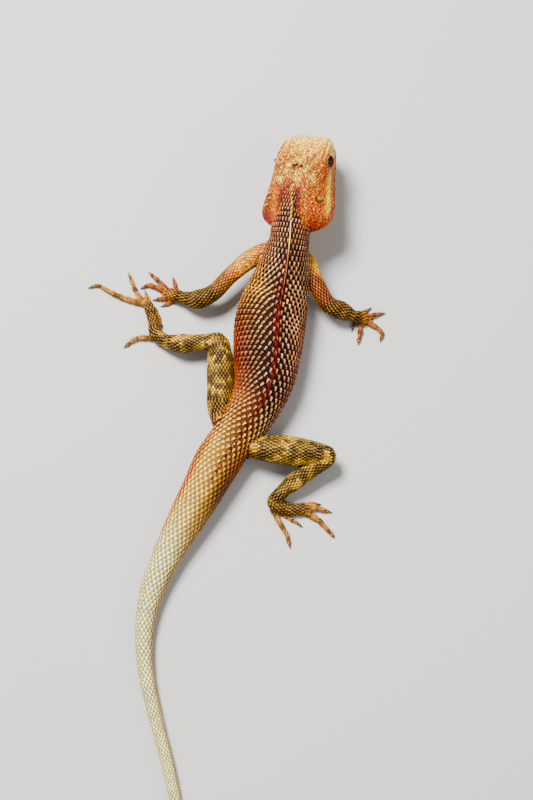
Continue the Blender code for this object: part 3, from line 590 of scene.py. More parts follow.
def join(objects, name):
    """One object from several, which are removed."""
    shape = bmesh.new()
    for made in objects:
        shape.from_mesh(made.data)
        bpy.data.objects.remove(made)
    mesh = bpy.data.meshes.new(name)
    shape.to_mesh(mesh)
    shape.free()
    mesh.shade_smooth()
    return placed(name, mesh)


def apply_modifier(made, kind, **settings):
    """Adds a modifier with those settings and puts its result in the object's own mesh."""
    step = made.modifiers.new(kind.lower(), kind)
    for key, value in settings.items():
        setattr(step, key, value)
    bpy.context.view_layer.update()
    done = bpy.data.meshes.new_from_object(made.evaluated_get(bpy.context.evaluated_depsgraph_get()))
    made.modifiers.clear()
    made.data = done
    done.shade_smooth()


def cut(made, cutters):
    """Cuts closed objects out of another and removes them."""
    group = bpy.data.collections.new("cutters")
    for cutter in cutters:
        group.objects.link(cutter)
    apply_modifier(made, "BOOLEAN", operation="DIFFERENCE", operand_type="COLLECTION",
                   collection=group, solver="MANIFOLD")
    for cutter in cutters:
        bpy.data.objects.remove(cutter)
    bpy.data.collections.remove(group)


# Where places lie on the animal, and the colours there.

def nearest_on(line, points):
    """Index of the nearest place of a line of centres for each point, in blocks."""
    found = np.empty(len(points), dtype=int)
    for start in range(0, len(points), 8000):
        block = points[start:start + 8000]
        away = (block ** 2).sum(axis=1)[:, None] - 2.0 * block @ line.T + (line ** 2).sum(axis=1)
        found[start:start + 8000] = away.argmin(axis=1)
    return found


TRUNK_AT = np.linspace(0.0, SPINE_AT[-1], 400)
TRUNK_LINE = trunk_frame(TRUNK_AT)
LIMB_LINES = {name: tube_frame(rows, 40) for name, rows in LIMBS.items()}
DIGIT_LINES = [(group, tube_frame(digit_stations(*finger), 16))
               for group, fingers in DIGITS.items() for finger in fingers]


def in_trunk(points):
    """Distance along the trunk, shares across and up, and how far out of it each point is."""
    rows, right, over = TRUNK_LINE
    near = nearest_on(rows[:, :3], points)
    away = points - rows[near, :3]
    x, y = (away * right[near]).sum(axis=1), (away * over[near]).sum(axis=1)
    ahead = np.cross(over[near], right[near])
    at = TRUNK_AT[near] - (away * ahead).sum(axis=1)
    across = x / rows[near, 3]
    up = y / np.where(y > 0.0, rows[near, 4], rows[near, 5])
    return at, across, up, np.hypot(across, up) + np.maximum(-at, 0.0) * 0.3


def in_line(line, points):
    """Share along a limb or digit, share to its side, and how far out of it each point is."""
    rows, right, _ = line
    near = nearest_on(rows[:, :3], points)
    away = points - rows[near, :3]
    side = (away * right[near]).sum(axis=1) / rows[near, 3]
    beyond = np.linalg.norm(away, axis=1) / np.maximum(rows[near, 3], 0.4)
    return near / (len(rows) - 1.0), side, beyond


def in_head(points):
    """The head's own coordinates, and how far out of the head each point is."""
    local = to_head(points)
    at = np.clip(local[:, 1], HEAD_ROWS[0, 0], HEAD_ROWS[-1, 0])
    rows = spline(HEAD_ROWS[:, 0], HEAD_ROWS, at)
    tall = np.where(local[:, 2] > 0.0, rows[:, 1], -rows[:, 8])
    out = np.hypot(local[:, 0] / rows[:, 4], local[:, 2] / tall)
    return local, out + np.abs(local[:, 1] - at) * 0.3


def trunk_colour(points, at, across, up):
    """Brick and brown trunk with a red back line, then a pale tail, dark to golden on its right."""
    wave, fine = blotch(points, 9.0, 3), blotch(points, 3.0, 5)
    middle = mix(BRICK, BROWN, 0.2 + 0.6 * fine) * 0.7
    neck = mix(middle, AMBER, 0.8 * ramp(np.abs(across), 0.5, 0.8) * ramp(at, 12.0, 5.0))
    left_shoulder = ramp(-across, 0.2, 0.8) * ramp(at, 22.0, 28.0) * ramp(at, 50.0, 34.0)
    body = layered(
        mix(BROWN, BRICK, 0.15 + 0.6 * wave) * 0.42,
        (AMBER, 0.25 * left_shoulder),
        (RED, 0.65 * ramp(np.abs(across), 0.5, 0.95) * ramp(at, 36.0, 48.0)),
    )
    fade = ramp(at, ROOT + 40.0, ROOT + 8.0)
    right_flank = mix(BRICK * 0.5, GOLD * 0.8, ramp(at, ROOT + 2.0, ROOT + 26.0))
    tail = layered(
        mix(STRAW, CREAM, 0.3 + 0.6 * fine),
        (mix(CREAM, WHITE, 0.2 + 0.7 * fine), ramp(at, ROOT + 4.0, ROOT + 36.0)),
        (GOLD, 0.85 * ramp(np.abs(across + 0.1), 0.65, 1.0)),
        (right_flank, ramp(across, 0.05, 0.30) * fade),
        (ORANGE, ramp(-across, 0.70, 0.92) * fade),
        (GOLD, 0.6 * fade * ramp(np.abs(across + 0.2), 0.8, 0.4)),
    )
    line = bell(across, 0.085) * ramp(at, 26.0, 40.0) * ramp(at, ROOT + 10.0, ROOT + 6.0)
    return layered(
        neck,
        (body, ramp(at, 18.0, 28.0)),
        (AMBER, 0.6 * ramp(at - across * 9.0, HIP - 14.0, HIP + 2.0)),
        (tail, ramp(at - across * 9.0, HIP + 1.0, ROOT + 5.0)),
        (RED, 0.8 * line * (up > 0.0)),
        (STRAW, 0.5 * ramp(-up, 0.2, 0.8)),
    )


def trunk_tips(points, at, across):
    """Colour of the trunk scales' keels: pink and blush, straw on the left shoulder, orange low on
    both sides, amber on the left flank, a red back line, and straw to white along the tail."""
    wave = blotch(points, 7.0, 31)
    left_shoulder = ramp(-across, 0.15, 0.6) * ramp(at, 20.0, 26.0) * ramp(at, 56.0, 40.0)
    left_flank = ramp(-across, 0.25, 0.65) * ramp(at, 34.0, 44.0) * ramp(at, 88.0, 76.0)
    tail = layered(STRAW, (CREAM, ramp(at, ROOT, BASE)), (WHITE, ramp(at, BASE, STATION["tail c"])))
    right_side = ramp(across, 0.1, 0.4) * ramp(at, HIP, VENT) * ramp(at, STATION["tail b"], STATION["tail a"])
    return layered(
        mix(PINK, BLUSH, 0.35 + 0.65 * wave),
        (AMBER, 0.5 * ramp(at, 14.0, 2.0)),
        (STRAW, 0.85 * left_shoulder),
        (ORANGE, 0.6 * ramp(np.abs(across), 0.7, 1.0) * ramp(at, 30.0, 42.0)),
        (AMBER * 0.7, 0.7 * left_flank),
        (RED * 0.7, bell(across, 0.08) * ramp(at, 20.0, 34.0) * ramp(at, 112.0, 100.0)),
        (CREAM, 0.7 * ramp(at, WAIST - 6.0, VENT)),
        (tail, ramp(at, VENT, BASE)),
        (AMBER, 0.7 * right_side),
    )


def head_colour(points, local):
    """Cream snout, golden crown with pale patches and two dots, orange cheeks and jowls with a red rim, the
    left jowl darker and the right one lighter as painted shade and light, red nape between golden ridges,
    mauve lids, a yellow band on the jaw, dark mouth and nostrils."""
    x, y, z = folded(local).T
    fine, wave = blotch(points, 1.5, 7), blotch(points, 5.0, 9)
    crown = layered(
        mix(AMBER, GOLD, 0.05 + 0.85 * fine) * 0.7,
        (ORANGE, 0.8 * ramp(y, 9.0, 1.0) * (0.35 + 0.65 * wave)),
        (STRAW, ramp(y, 11.5, 17.0) * (0.2 + 0.8 * fine)),
        (CREAM, ramp(y, 17.0, 21.5) * (0.35 + 0.65 * wave)),
    )
    cheek = mix(ORANGE, GOLD, 0.15 + 0.65 * fine)
    cheek = mix(cheek, RED * 1.4, 0.85 * bell(y - 10.5, 3.4) * bell(z - 5.0, 2.4))
    # Painted shade and light: the left jowl is painted at half brightness and the right one a little
    # brighter.
    jowl = mix(ORANGE, GOLD, 0.6 * fine) * np.where(local[:, :1] < 0.0, 0.5, 1.1)
    rear = ramp(y, 4.0, -0.5) * ramp(z, 1.0, 3.0)
    eye, nostril = (np.linalg.norm(folded(local) - place, axis=1) for place in (EYE_PLACE, NOSTRIL))
    colour = layered(
        crown,
        (cheek, ramp(x - z * 0.30, 3.6, 6.2) * ramp(y, 20.0, 16.5)),
        (jowl, ramp(y, 2.5, -3.5) * ramp(x, 5.6, 8.0)),
        (RED * 1.2, 0.85 * ramp(y, -3.5, -7.0) * ramp(x, 6.0, 8.0)),
        (mix(RED, BRICK, fine) * 0.55, 0.9 * rear * ramp(x, 4.4, 3.0)),
        (GOLD, 0.7 * rear * bell(x - 5.4, 0.9)),
        (YELLOW, jaw_band(local)),
        (MAUVE, 0.8 * ramp(eye, 4.0, 3.5) * ramp(x - z * 0.5, 4.2, 5.4)),
        (DARK, 0.95 * dots(local)),
    )
    for across, ahead, size in CROWN_PATCHES:
        near = np.hypot(local[:, 0] - across, y - ahead) * (0.4 + 1.5 * fine)
        colour = mix(colour, CREAM, 0.6 * ramp(near, size * 1.4, size * 0.3) * (z > 4.0))
    gap = np.minimum(mouth_gap(local), nostril - 0.4)
    return layered(colour, (STRAW, 0.7 * ramp(-z, 4.6, 6.5)), (DARK, 0.9 * ramp(gap, 0.45, 0.2)))


def jaw_band(local):
    """Share of the yellow band from under the eye to the jowl."""
    x, y, z = folded(local).T
    long = ramp(y, -3.0, 1.0) * ramp(y, 15.0, 12.0)
    return bell(z - 0.5 - (y - 5.0) * 0.30, 1.3) * long * ramp(x, 7.0, 9.0)


def mouth_gap(local):
    """Height from the mouth's line, large behind its corners."""
    level = np.interp(local[:, 1], MOUTH[:, 0], MOUTH[:, 1])
    return np.abs(local[:, 2] - level) + np.maximum(MOUTH[0, 0] - local[:, 1], 0.0) * 2.0


def dots(local):
    """Share of the two dark dots on the crown."""
    near = [np.hypot(local[:, 0] - across, local[:, 1] - ahead) for across, ahead in CROWN_DOTS]
    return ramp(np.min(near, axis=0), 1.0, 0.75) * (local[:, 2] > 5.0)


def on_nape(local):
    """Places of the wedge on the nape where the neck's scales run up on to the head."""
    return (np.abs(local[:, 0] + 0.1) < 2.6 * ramp(local[:, 1], 4.8, -2.0)) & (local[:, 2] > 2.0)


def arm_colour(points, share, side, left):
    """Orange upper arm, straw and olive on the left or red on the right, and a banded olive forearm."""
    wave, fine = blotch(points, 4.0, 13), blotch(points, 1.6, 14)
    upper = mix(FLAME, GOLD, 0.15 + 0.6 * wave) * 0.8
    if left:
        upper = layered(
            upper, (STRAW, 0.85 * bell(share - 0.28, 0.09) * ramp(fine, 0.2, 0.6)),
            (OLIVE * 0.6, 0.8 * ramp(share, 0.34, 0.46) * ramp(wave, 0.25, 0.55)),
        )
    else:
        upper = layered(
            upper * 1.2, (YELLOW, 0.5 * ramp(-side, -0.2, 0.8)),
            (mix(RED, BRICK, fine), ramp(share + side * 0.08, 0.24, 0.32)),
        )
    lower = mix(OLIVE, AMBER, 0.15 + 0.5 * wave) * (0.4 if left else 0.5)
    band = 0.5 + 0.5 * np.cos(share * 2.0 * math.pi * 11.0 + side * 0.8)
    lower = mix(lower, DARK, 0.95 * ramp(band + 0.5 * fine, 0.40, 0.70) * ramp(share, 0.50, 0.58))
    hand = mix(AMBER, RUST, 0.2 + 0.5 * wave)
    return layered(upper, (lower, ramp(share, 0.48, 0.56)), (hand, ramp(share, 0.80, 0.90)))


def leg_colour(points, share, shin):
    """Olive leg with straw lights and slate mottles, darker with brown mottles at the foot."""
    wave, broad = blotch(points, 4.2, 17), blotch(points, 8.0, 19)
    leg = mix(OLIVE, STRAW, 0.10 + 0.65 * ramp(broad, 0.30, 0.75)) * 0.9
    leg = mix(leg, SLATE, 0.97 * ramp(wave, 0.42, 0.54))
    foot = mix(mix(AMBER, OLIVE, 0.5 + 0.3 * broad) * 0.48, BROWN, 0.85 * ramp(wave, 0.48, 0.62))
    return mix(leg, foot, ramp(share, 0.52, 0.70)) if shin else leg


def digit_colour(points, share, hand):
    """Tan and pink digit with brown bands, more orange on the hands and paler on the feet."""
    base = mix(TAN, PINK, 0.2 + 0.5 * blotch(points, 2.6, 23))
    band = 0.5 + 0.5 * np.cos(share * 2.0 * math.pi * 4.0)
    return layered(base, (ORANGE, 0.45) if hand else (STRAW, 0.25), (BROWN, 0.75 * ramp(band, 0.5, 0.95)))


def markings(points):
    """Colour at each place: each part's own colour, shared between parts where they meet."""
    at, across, up, out = in_trunk(points)
    local, head_out = in_head(points)
    colours = [trunk_colour(points, at, across, up), head_colour(points, local)]
    outs = [out, head_out * 0.97]
    for name, line in LIMB_LINES.items():
        share, side, out = in_line(line, points)
        outs.append(out)
        if name.startswith("arm"):
            colours.append(arm_colour(points, share, side, name.endswith("left")))
        else:
            colours.append(leg_colour(points, share, name.startswith("shin")))
    for group, line in DIGIT_LINES:
        share, _, out = in_line(line, points)
        outs.append(out)
        colours.append(digit_colour(points, share, group.startswith("hand")))
    outs = np.array(outs)
    weight = np.exp(-7.0 * (outs - outs.min(axis=0)))
    weight /= weight.sum(axis=0)
    return np.einsum("kn,knc->nc", weight, np.array(colours))


def paint(made, colours):
    """Keeps a colour for each point or face corner, deepened, in the mesh's Markings attribute."""
    colours = np.clip(colours.reshape(-1, 3), 0.0, 1.0) ** DEPTH
    domain = "POINT" if len(colours) == len(made.data.vertices) else "CORNER"
    layer = made.data.color_attributes.new("Markings", "FLOAT_COLOR", domain)
    layer.data.foreach_set("color", np.column_stack((colours, np.ones(len(colours)))).ravel())


# Scales: rows of roots on the guides, then all scales of a piece at once.

# Points of a scale as shares of its breadth, length and height: across, along from the root, and up.
SCALE_FORM = np.array((
    (-0.40, 0.00, -0.30), (0.40, 0.00, -0.30),
    (-0.54, 0.36, 0.10), (0.54, 0.36, 0.10),
    (-0.34, 0.82, 0.45), (0.34, 0.82, 0.45),
    (0.00, 1.24, 0.90),
    (-0.12, 0.24, 0.70), (0.12, 0.24, 0.70),
    (-0.22, 0.56, 1.20), (0.22, 0.56, 1.20), (0.00, 1.00, 1.30),
    (0.00, 0.45, -1.20),
))
# The same points for a low rounded plate of the head.
PLATE_FORM = np.array((
    (-0.36, 0.02, -0.30), (0.36, 0.02, -0.30),
    (-0.50, 0.42, 0.10), (0.50, 0.42, 0.10),
    (-0.38, 0.86, 0.20), (0.38, 0.86, 0.20),
    (0.00, 1.08, 0.25),
    (-0.18, 0.22, 0.75), (0.18, 0.22, 0.75),
    (-0.28, 0.52, 1.00), (0.28, 0.52, 1.00), (0.00, 0.84, 0.95),
    (0.00, 0.45, -1.20),
))
# Share of the dark edge colour at those points, partly painted shade where the scales meet, then of the
# pale keel's, partly a painted highlight, and the faces that the keel's is on.
SCALE_EDGE_DARK_AND_SHADE = np.array((1.0, 1.0, 0.9, 0.9, 0.8, 0.8, 0.3, 0.9, 0.9, 0.15, 0.15, 0.0, 1.0))
SCALE_KEEL_PALE_AND_HIGHLIGHT = np.array((0.0, 0.0, 0.0, 0.0, 0.4, 0.4, 0.9, 0.0, 0.0, 1.0, 1.0, 1.0, 0.0))
SCALE_KEEL = np.array((4, 9, 10, 11, 12))
SCALE_FACES = np.array((
    (2, 0, 9), (0, 7, 9), (4, 2, 9), (11, 4, 9), (6, 4, 11),
    (1, 3, 10), (8, 1, 10), (3, 5, 10), (5, 11, 10), (5, 6, 11),
    (7, 10, 9), (7, 8, 10), (9, 10, 11), (0, 8, 7), (0, 1, 8),
    (1, 0, 12), (3, 1, 12), (5, 3, 12), (6, 5, 12), (4, 6, 12), (2, 4, 12), (0, 2, 12),
))


def read_line(line, at):
    """Places at those distances along a line of places."""
    return np.column_stack([np.interp(at, along(line), line[:, axis]) for axis in range(3)])


def rows_on(rings, pitch):
    """Staggered roots on a run of rings: places, number of the ring, breadth, share along and round."""
    found = []
    before = 0
    for number, ring in enumerate(rings):
        closed = np.vstack((ring, ring[:1]))
        length = along(closed)[-1]
        wanted = length / pitch[number]
        count = before if abs(wanted - before) < 1.6 else int(round(wanted / 2.0)) * 2
        before = count = max(count, 4)
        share = (np.arange(count) + 0.5 * (number % 2)) / count
        step = number / max(len(rings) - 1.0, 1.0)
        spots = np.column_stack((np.full(count, step), share))
        breadths = np.full(count, length / count)
        found.append((read_line(closed, share * length), np.full(count, number), breadths, spots))
    return [np.concatenate(part) for part in zip(*found)]


def seat(tree, roots, reach):
    """Roots moved to the nearest skin with its normal, and which of them are near enough."""
    places, normals = np.empty_like(roots), np.empty_like(roots)
    world = ((roots - ORIGIN) * MM).tolist()
    away = np.empty(len(roots))
    for number, root in enumerate(world):
        places[number], normals[number], _, away[number] = tree.find_nearest(root)
    return places / MM + ORIGIN, normals, away < reach * MM


def scales(name, form, places, normals, lies, breadth, length, height, unwrap, tint, surface):
    """One mesh of many scales, coloured by their tints.

    A point of a scale is its place plus its form's three numbers, times breadth, length and height,
    along the way across it, the way that it lies and the skin's normal.
    """
    lies = unit(lies - normals * (lies * normals).sum(axis=1, keepdims=True))
    points = places[:, None]
    ways = ((np.cross(lies, normals), breadth), (lies, length), (normals, height))
    for axis, (way, size) in enumerate(ways):
        points = points + way[:, None] * form[None, :, axis:axis + 1] * size[:, None, None]
    points[:, :, 2] = np.maximum(points[:, :, 2], 0.0)
    faces = (SCALE_FACES[None] + np.arange(len(places))[:, None, None] * len(form)).reshape(-1, 3)
    made = mesh_object(name, points.reshape(-1, 3), faces, smooth=False)
    paint(made, tint)
    layer = made.data.uv_layers.new(name="OFBake")
    flat = unwrap[:, None] + form[None, :, :2] * UNWRAPPED
    layer.data.foreach_set("uv", flat.reshape(-1, 2)[faces.ravel()].ravel())
    made.data.materials.append(surface)
    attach(made, "root")


def scale_tints(roots, edge, edge_dark_and_shade_share, keel, keel_pale_and_highlight_share, uneven):
    """Colours of each scale's face corners: the markings there, dark at its edge (partly painted shade), pale
    on its keel (partly a painted highlight).
    """
    vary = RANDOM.uniform(1.0 - uneven, 1.0 + uneven, (len(roots), 1))
    base = np.clip(markings(roots) * vary, 0.0, 1.0)
    rim = SCALE_EDGE_DARK_AND_SHADE[None, :, None] * edge_dark_and_shade_share[:, None, None]
    points = base[:, None] * (1.0 - rim) + edge[:, None] * rim
    top = mix(base, keel, keel_pale_and_highlight_share * RANDOM.uniform(0.5, 1.2, len(roots)))
    raised = points + (top[:, None] - points) * SCALE_KEEL_PALE_AND_HIGHLIGHT[None, :, None]
    corners = points[:, SCALE_FACES]
    corners[:, SCALE_KEEL] = raised[:, SCALE_FACES[SCALE_KEEL]]
    return corners


def new_material(name, roughness):
    """Material of that roughness, with its nodes, links and shader."""
    made = bpy.data.materials.new(name)
    made.use_nodes = True
    nodes = made.node_tree.nodes
    shader = nodes["Principled BSDF"]
    shader.inputs["Roughness"].default_value = roughness
    return made, nodes, made.node_tree.links, shader


def painted(nodes):
    """Output of a node that reads the mesh's painted markings."""
    colour = nodes.new("ShaderNodeAttribute")
    colour.attribute_name = "Markings"
    return colour.outputs["Color"]


def skin_material(name, roughness, bump, size):
    """Satin surface in the painted markings, with fine noise of that size in its tint and its bump."""
    made, nodes, links, shader = new_material(name, roughness)
    place = nodes.new("ShaderNodeTexCoord")
    noise = nodes.new("ShaderNodeTexNoise")
    noise.inputs["Scale"].default_value = 1000.0 / size
    noise.inputs["Detail"].default_value = 3.0
    links.new(place.outputs["Object"], noise.inputs["Vector"])
    vary = nodes.new("ShaderNodeMapRange")
    vary.inputs["To Min"].default_value = 0.82
    vary.inputs["To Max"].default_value = 1.18
    links.new(noise.outputs["Fac"], vary.inputs["Value"])
    tint = nodes.new("ShaderNodeVectorMath")
    tint.operation = "SCALE"
    links.new(painted(nodes), tint.inputs[0])
    links.new(vary.outputs["Result"], tint.inputs["Scale"])
    links.new(tint.outputs["Vector"], shader.inputs["Base Color"])
    raised = nodes.new("ShaderNodeBump")
    raised.inputs["Strength"].default_value = bump
    raised.inputs["Distance"].default_value = 0.0001
    links.new(noise.outputs["Fac"], raised.inputs["Height"])
    links.new(raised.outputs["Normal"], shader.inputs["Normal"])
    shader.inputs["Specular IOR Level"].default_value = 0.08
    return made


def plain_material(name, colour, roughness, coat=0.0):
    """Material of one colour."""
    made, _, _, shader = new_material(name, roughness)
    shader.inputs["Base Color"].default_value = (*colour, 1.0)
    shader.inputs["Coat Weight"].default_value = coat
    return made


# Distances along the trunk, breadth of the scales there, and distance between their rows.
SCALE_STATIONS = np.array((0.0, 12.0, 22.0, 30.0, HIP, ROOT, ROOT + 40.0, ROOT + 90.0, SPINE_AT[-1]))
SCALE_BREADTHS = (0.95, 1.15, 1.65, 1.9, 1.9, 1.85, 1.7, 1.3, 0.55)
ROW_STEPS = (1.25, 1.45, 1.6, 1.65, 1.6, 1.4, 1.3, 1.0, 0.42)
# How far the skin may be from a root, by the distance along the trunk.
TRUNK_REACH = ((2.0, 8.0, 14.0), (5.0, 2.2, 0.8))
# Keel's pale share (partly a painted highlight), edge's dark share (partly painted shade), breadth and height
# of a scale, on the body and on the tail.
TRUNK_LOOKS = ((0.80, 0.45), (0.97, 0.86), (0.88, 0.80), (0.20, 0.08))


def trunk_scales(tree, surface):
    """Keeled, pointed scales on trunk and tail, largest at the ribs, smaller to the tail's tip."""
    at = [-4.2]
    while at[-1] < SPINE_AT[-1] - 0.8:
        at.append(at[-1] + trunk_step(at[-1]))
    at = np.array(at)
    _, right, over = trunk_frame(at)
    breadths = np.interp(at, SCALE_STATIONS, SCALE_BREADTHS)
    roots, number, sizes, unwraps = rows_on(trunk_rings(at, 16), breadths)
    steps = trunk_step(at[number])
    where, across, _, _ = in_trunk(roots)
    spread = np.where(across < 0.0, -0.85, 0.42) * ramp(np.abs(across), 0.0, 0.35) * ramp(where, 12.0, 34.0)
    spread *= ramp(where, BASE, VENT)
    lies = np.cross(right, over)[number] + right[number] * spread[:, None]
    places, normals, kept = seat(tree, roots, np.interp(where, *TRUNK_REACH))
    where, across, _, out = in_trunk(places)
    local, head_out = in_head(places)
    kept &= (places[:, 2] > 0.12) & ((out < head_out + 0.06) | on_nape(local))
    tail = ramp(where, HIP, BASE)
    # Pale keels are partly a painted highlight, and dark edges are partly painted shade between the scales.
    pale_keel_and_highlight, rim, breadth, height = (body * (1.0 - tail) + end * tail for body, end in TRUNK_LOOKS)
    tint = scale_tints(places, mix(DARK, NET * 0.6, tail), rim, trunk_tips(places, where, across), pale_keel_and_highlight, 0.25)
    breadth, height, unwraps = sizes * breadth, sizes * height, unwraps * (0.94, 0.30) + 0.02
    thin = STATION["tail c"]
    for name, start, end, slot in (("scales_body", -9.0, WAIST, "body_skin"),
                                   ("scales_hips", WAIST, thin, "body_skin"),
                                   ("scales_tail", thin, 1e3, "tail_skin")):
        use = kept & (where >= start) & (where < end)
        scales(name, SCALE_FORM, places[use], normals[use], lies[use], breadth[use], steps[use] * 1.12,
               height[use], unwraps[use], tint[use], surface)


def trunk_step(at):
    """Distance between rows of scales at distances along the trunk."""
    return np.interp(at, SCALE_STATIONS, ROW_STEPS)


def limb_scales(tree, surface):
    """Small keeled scales on limbs and digits."""
    runs = []
    for index, (name, stations) in enumerate(LIMBS.items()):
        spot = (0.02 + 0.24 * (index % 4), 0.36 + 0.05 * index)
        runs.append((name, np.array(stations, dtype=float), LIMB_SCALE, 40, -COAT, spot))
    for row, (name, fingers) in enumerate(DIGITS.items()):
        for index, finger in enumerate(fingers):
            spot = (0.02 + 0.19 * index, 0.72 + 0.05 * row)
            runs.append((name, digit_stations(*finger), DIGIT_SCALE, 20, -DIGIT_COAT, spot))
    parts = {"scales_arms": [], "scales_legs": []}
    for name, stations, breadth, around, grow, spot in runs:
        count = int(along(stations)[-1] / (breadth * 0.78))
        _, right, over = tube_frame(stations, count)
        rings = tube_rings(stations, around, count, grow)[3:]
        roots, number, sizes, unwraps = rows_on(rings, np.full(len(rings), breadth))
        # Dark scale edges, partly painted shade between the scales, and pale straw keels, partly a painted
        # highlight.
        rim = np.full(len(roots), 0.8)
        if name.startswith("arm"):
            rim = 0.6 + 0.3 * ramp(unwraps[:, 0], 0.42, 0.56)
        parts["scales_arms" if name.startswith(("arm", "hand")) else "scales_legs"].append(
            (roots, np.cross(over, right)[3:][number], sizes, unwraps * (0.18, 0.03) + spot, rim))
    for name, found in parts.items():
        roots, *others = (np.concatenate(part) for part in zip(*found))
        places, normals, kept = seat(tree, roots, 0.5)
        kept &= places[:, 2] > 0.10
        places, normals, lies, sizes, unwraps, rim = (part[kept] for part in (places, normals, *others))
        edge, keel = (np.tile(colour, (len(places), 1)) for colour in (DARK, STRAW))
        tint = scale_tints(places, edge, rim, keel, np.full(len(places), 0.38), 0.4)
        scales(name, SCALE_FORM, places, normals, lies, sizes * 0.92, sizes * 0.96, sizes * 0.12,
               unwraps, tint, surface)


def lid_roots(side):
    """Roots of the small scales on a lid ball, their ways out from its opening, and their unwraps."""
    eye, gaze = mirrored(side) * EYE_PLACE, mirrored(side) * LID_GAZE
    gaze = unit(gaze)
    beside = unit(np.cross(gaze, UP))
    above = np.cross(beside, gaze)
    radius = EYE_RADIUS + LID_THICK
    roots, ways, spots = [], [], []
    for number, angle in enumerate(np.arange(0.66, 1.5, 0.15)):
        count = int(2.0 * math.pi * math.sin(angle) * radius / LID_SCALE)
        spin = (circle(count) + (number % 2) * math.pi / count)[:, None]
        out = np.cos(spin) * beside + np.sin(spin) * above
        roots.append(eye + radius * (math.cos(angle) * gaze + math.sin(angle) * out))
        ways.append(out)
        spots.append(np.column_stack((np.full(count, 0.70 + 0.04 * number), spin[:, 0] / 20.0)))
    return [np.concatenate(part) for part in (roots, ways, spots)]


# Rows of scales on the snout: share of the last ring's size and push ahead. Rows behind the jowls:
# distance back and inset.
SNOUT_ROWS = ((0.80, 0.35), (0.60, 0.50), (0.40, 0.60), (0.20, 0.60))
REAR_ROWS = ((0.9, 2.2), (0.6, 1.5), (0.3, 0.75))


def granule_rings():
    """Head rings one row of scales apart along its profile, with smaller ones behind the jowls and
    on the snout, and how many come before those on the snout."""
    dense = np.linspace(HEAD_ROWS[0, 0] + 0.3, HEAD_ROWS[-1, 0], 200)
    profile = along(np.column_stack((dense, spline(HEAD_ROWS[:, 0], HEAD_ROWS[:, [1, 4]], dense))))
    at = np.interp(np.arange(0.0, profile[-1], GRANULE * 0.8), profile, dense)
    last = head_rings(at[-1:], 20, -COAT)
    middle = last.mean(axis=1, keepdims=True)
    cap = [middle + (last - middle) * (share, 1.0, share) + (0.0, push, 0.0) for share, push in SNOUT_ROWS]
    behind = [head_rings(at[:1] - back, 20, -COAT - inset) for back, inset in REAR_ROWS]
    return np.concatenate(behind + [head_rings(at, 20, -COAT)] + cap), len(behind) + len(at)


def lip_plates(lift):
    """Roots and backward ways of the row of plates on a lip."""
    line, _ = mouth_line(lift, 0.0, 60)
    roots = read_line(line, np.arange(0.4, along(line)[-1], 1.2))
    return roots, np.gradient(roots, axis=0) * np.where(roots[:, :1] > 0.0, -1.0, 1.0)


def plate_row(roots, ways, breadth, run, level):
    """A row of plates: roots, ways, breadths, and unwraps along a strip of the baking map."""
    count = len(roots)
    spots = np.column_stack((0.02 + run * (np.arange(count) / count), np.full(count, level)))
    return roots, ways, np.full(count, breadth), spots


def brow_line():
    """Places along the right brow's edge, from over the nostril to behind the eye."""
    return head_rings(np.arange(22.5, 9.5, -1.05), 20, -COAT)[:, 20]


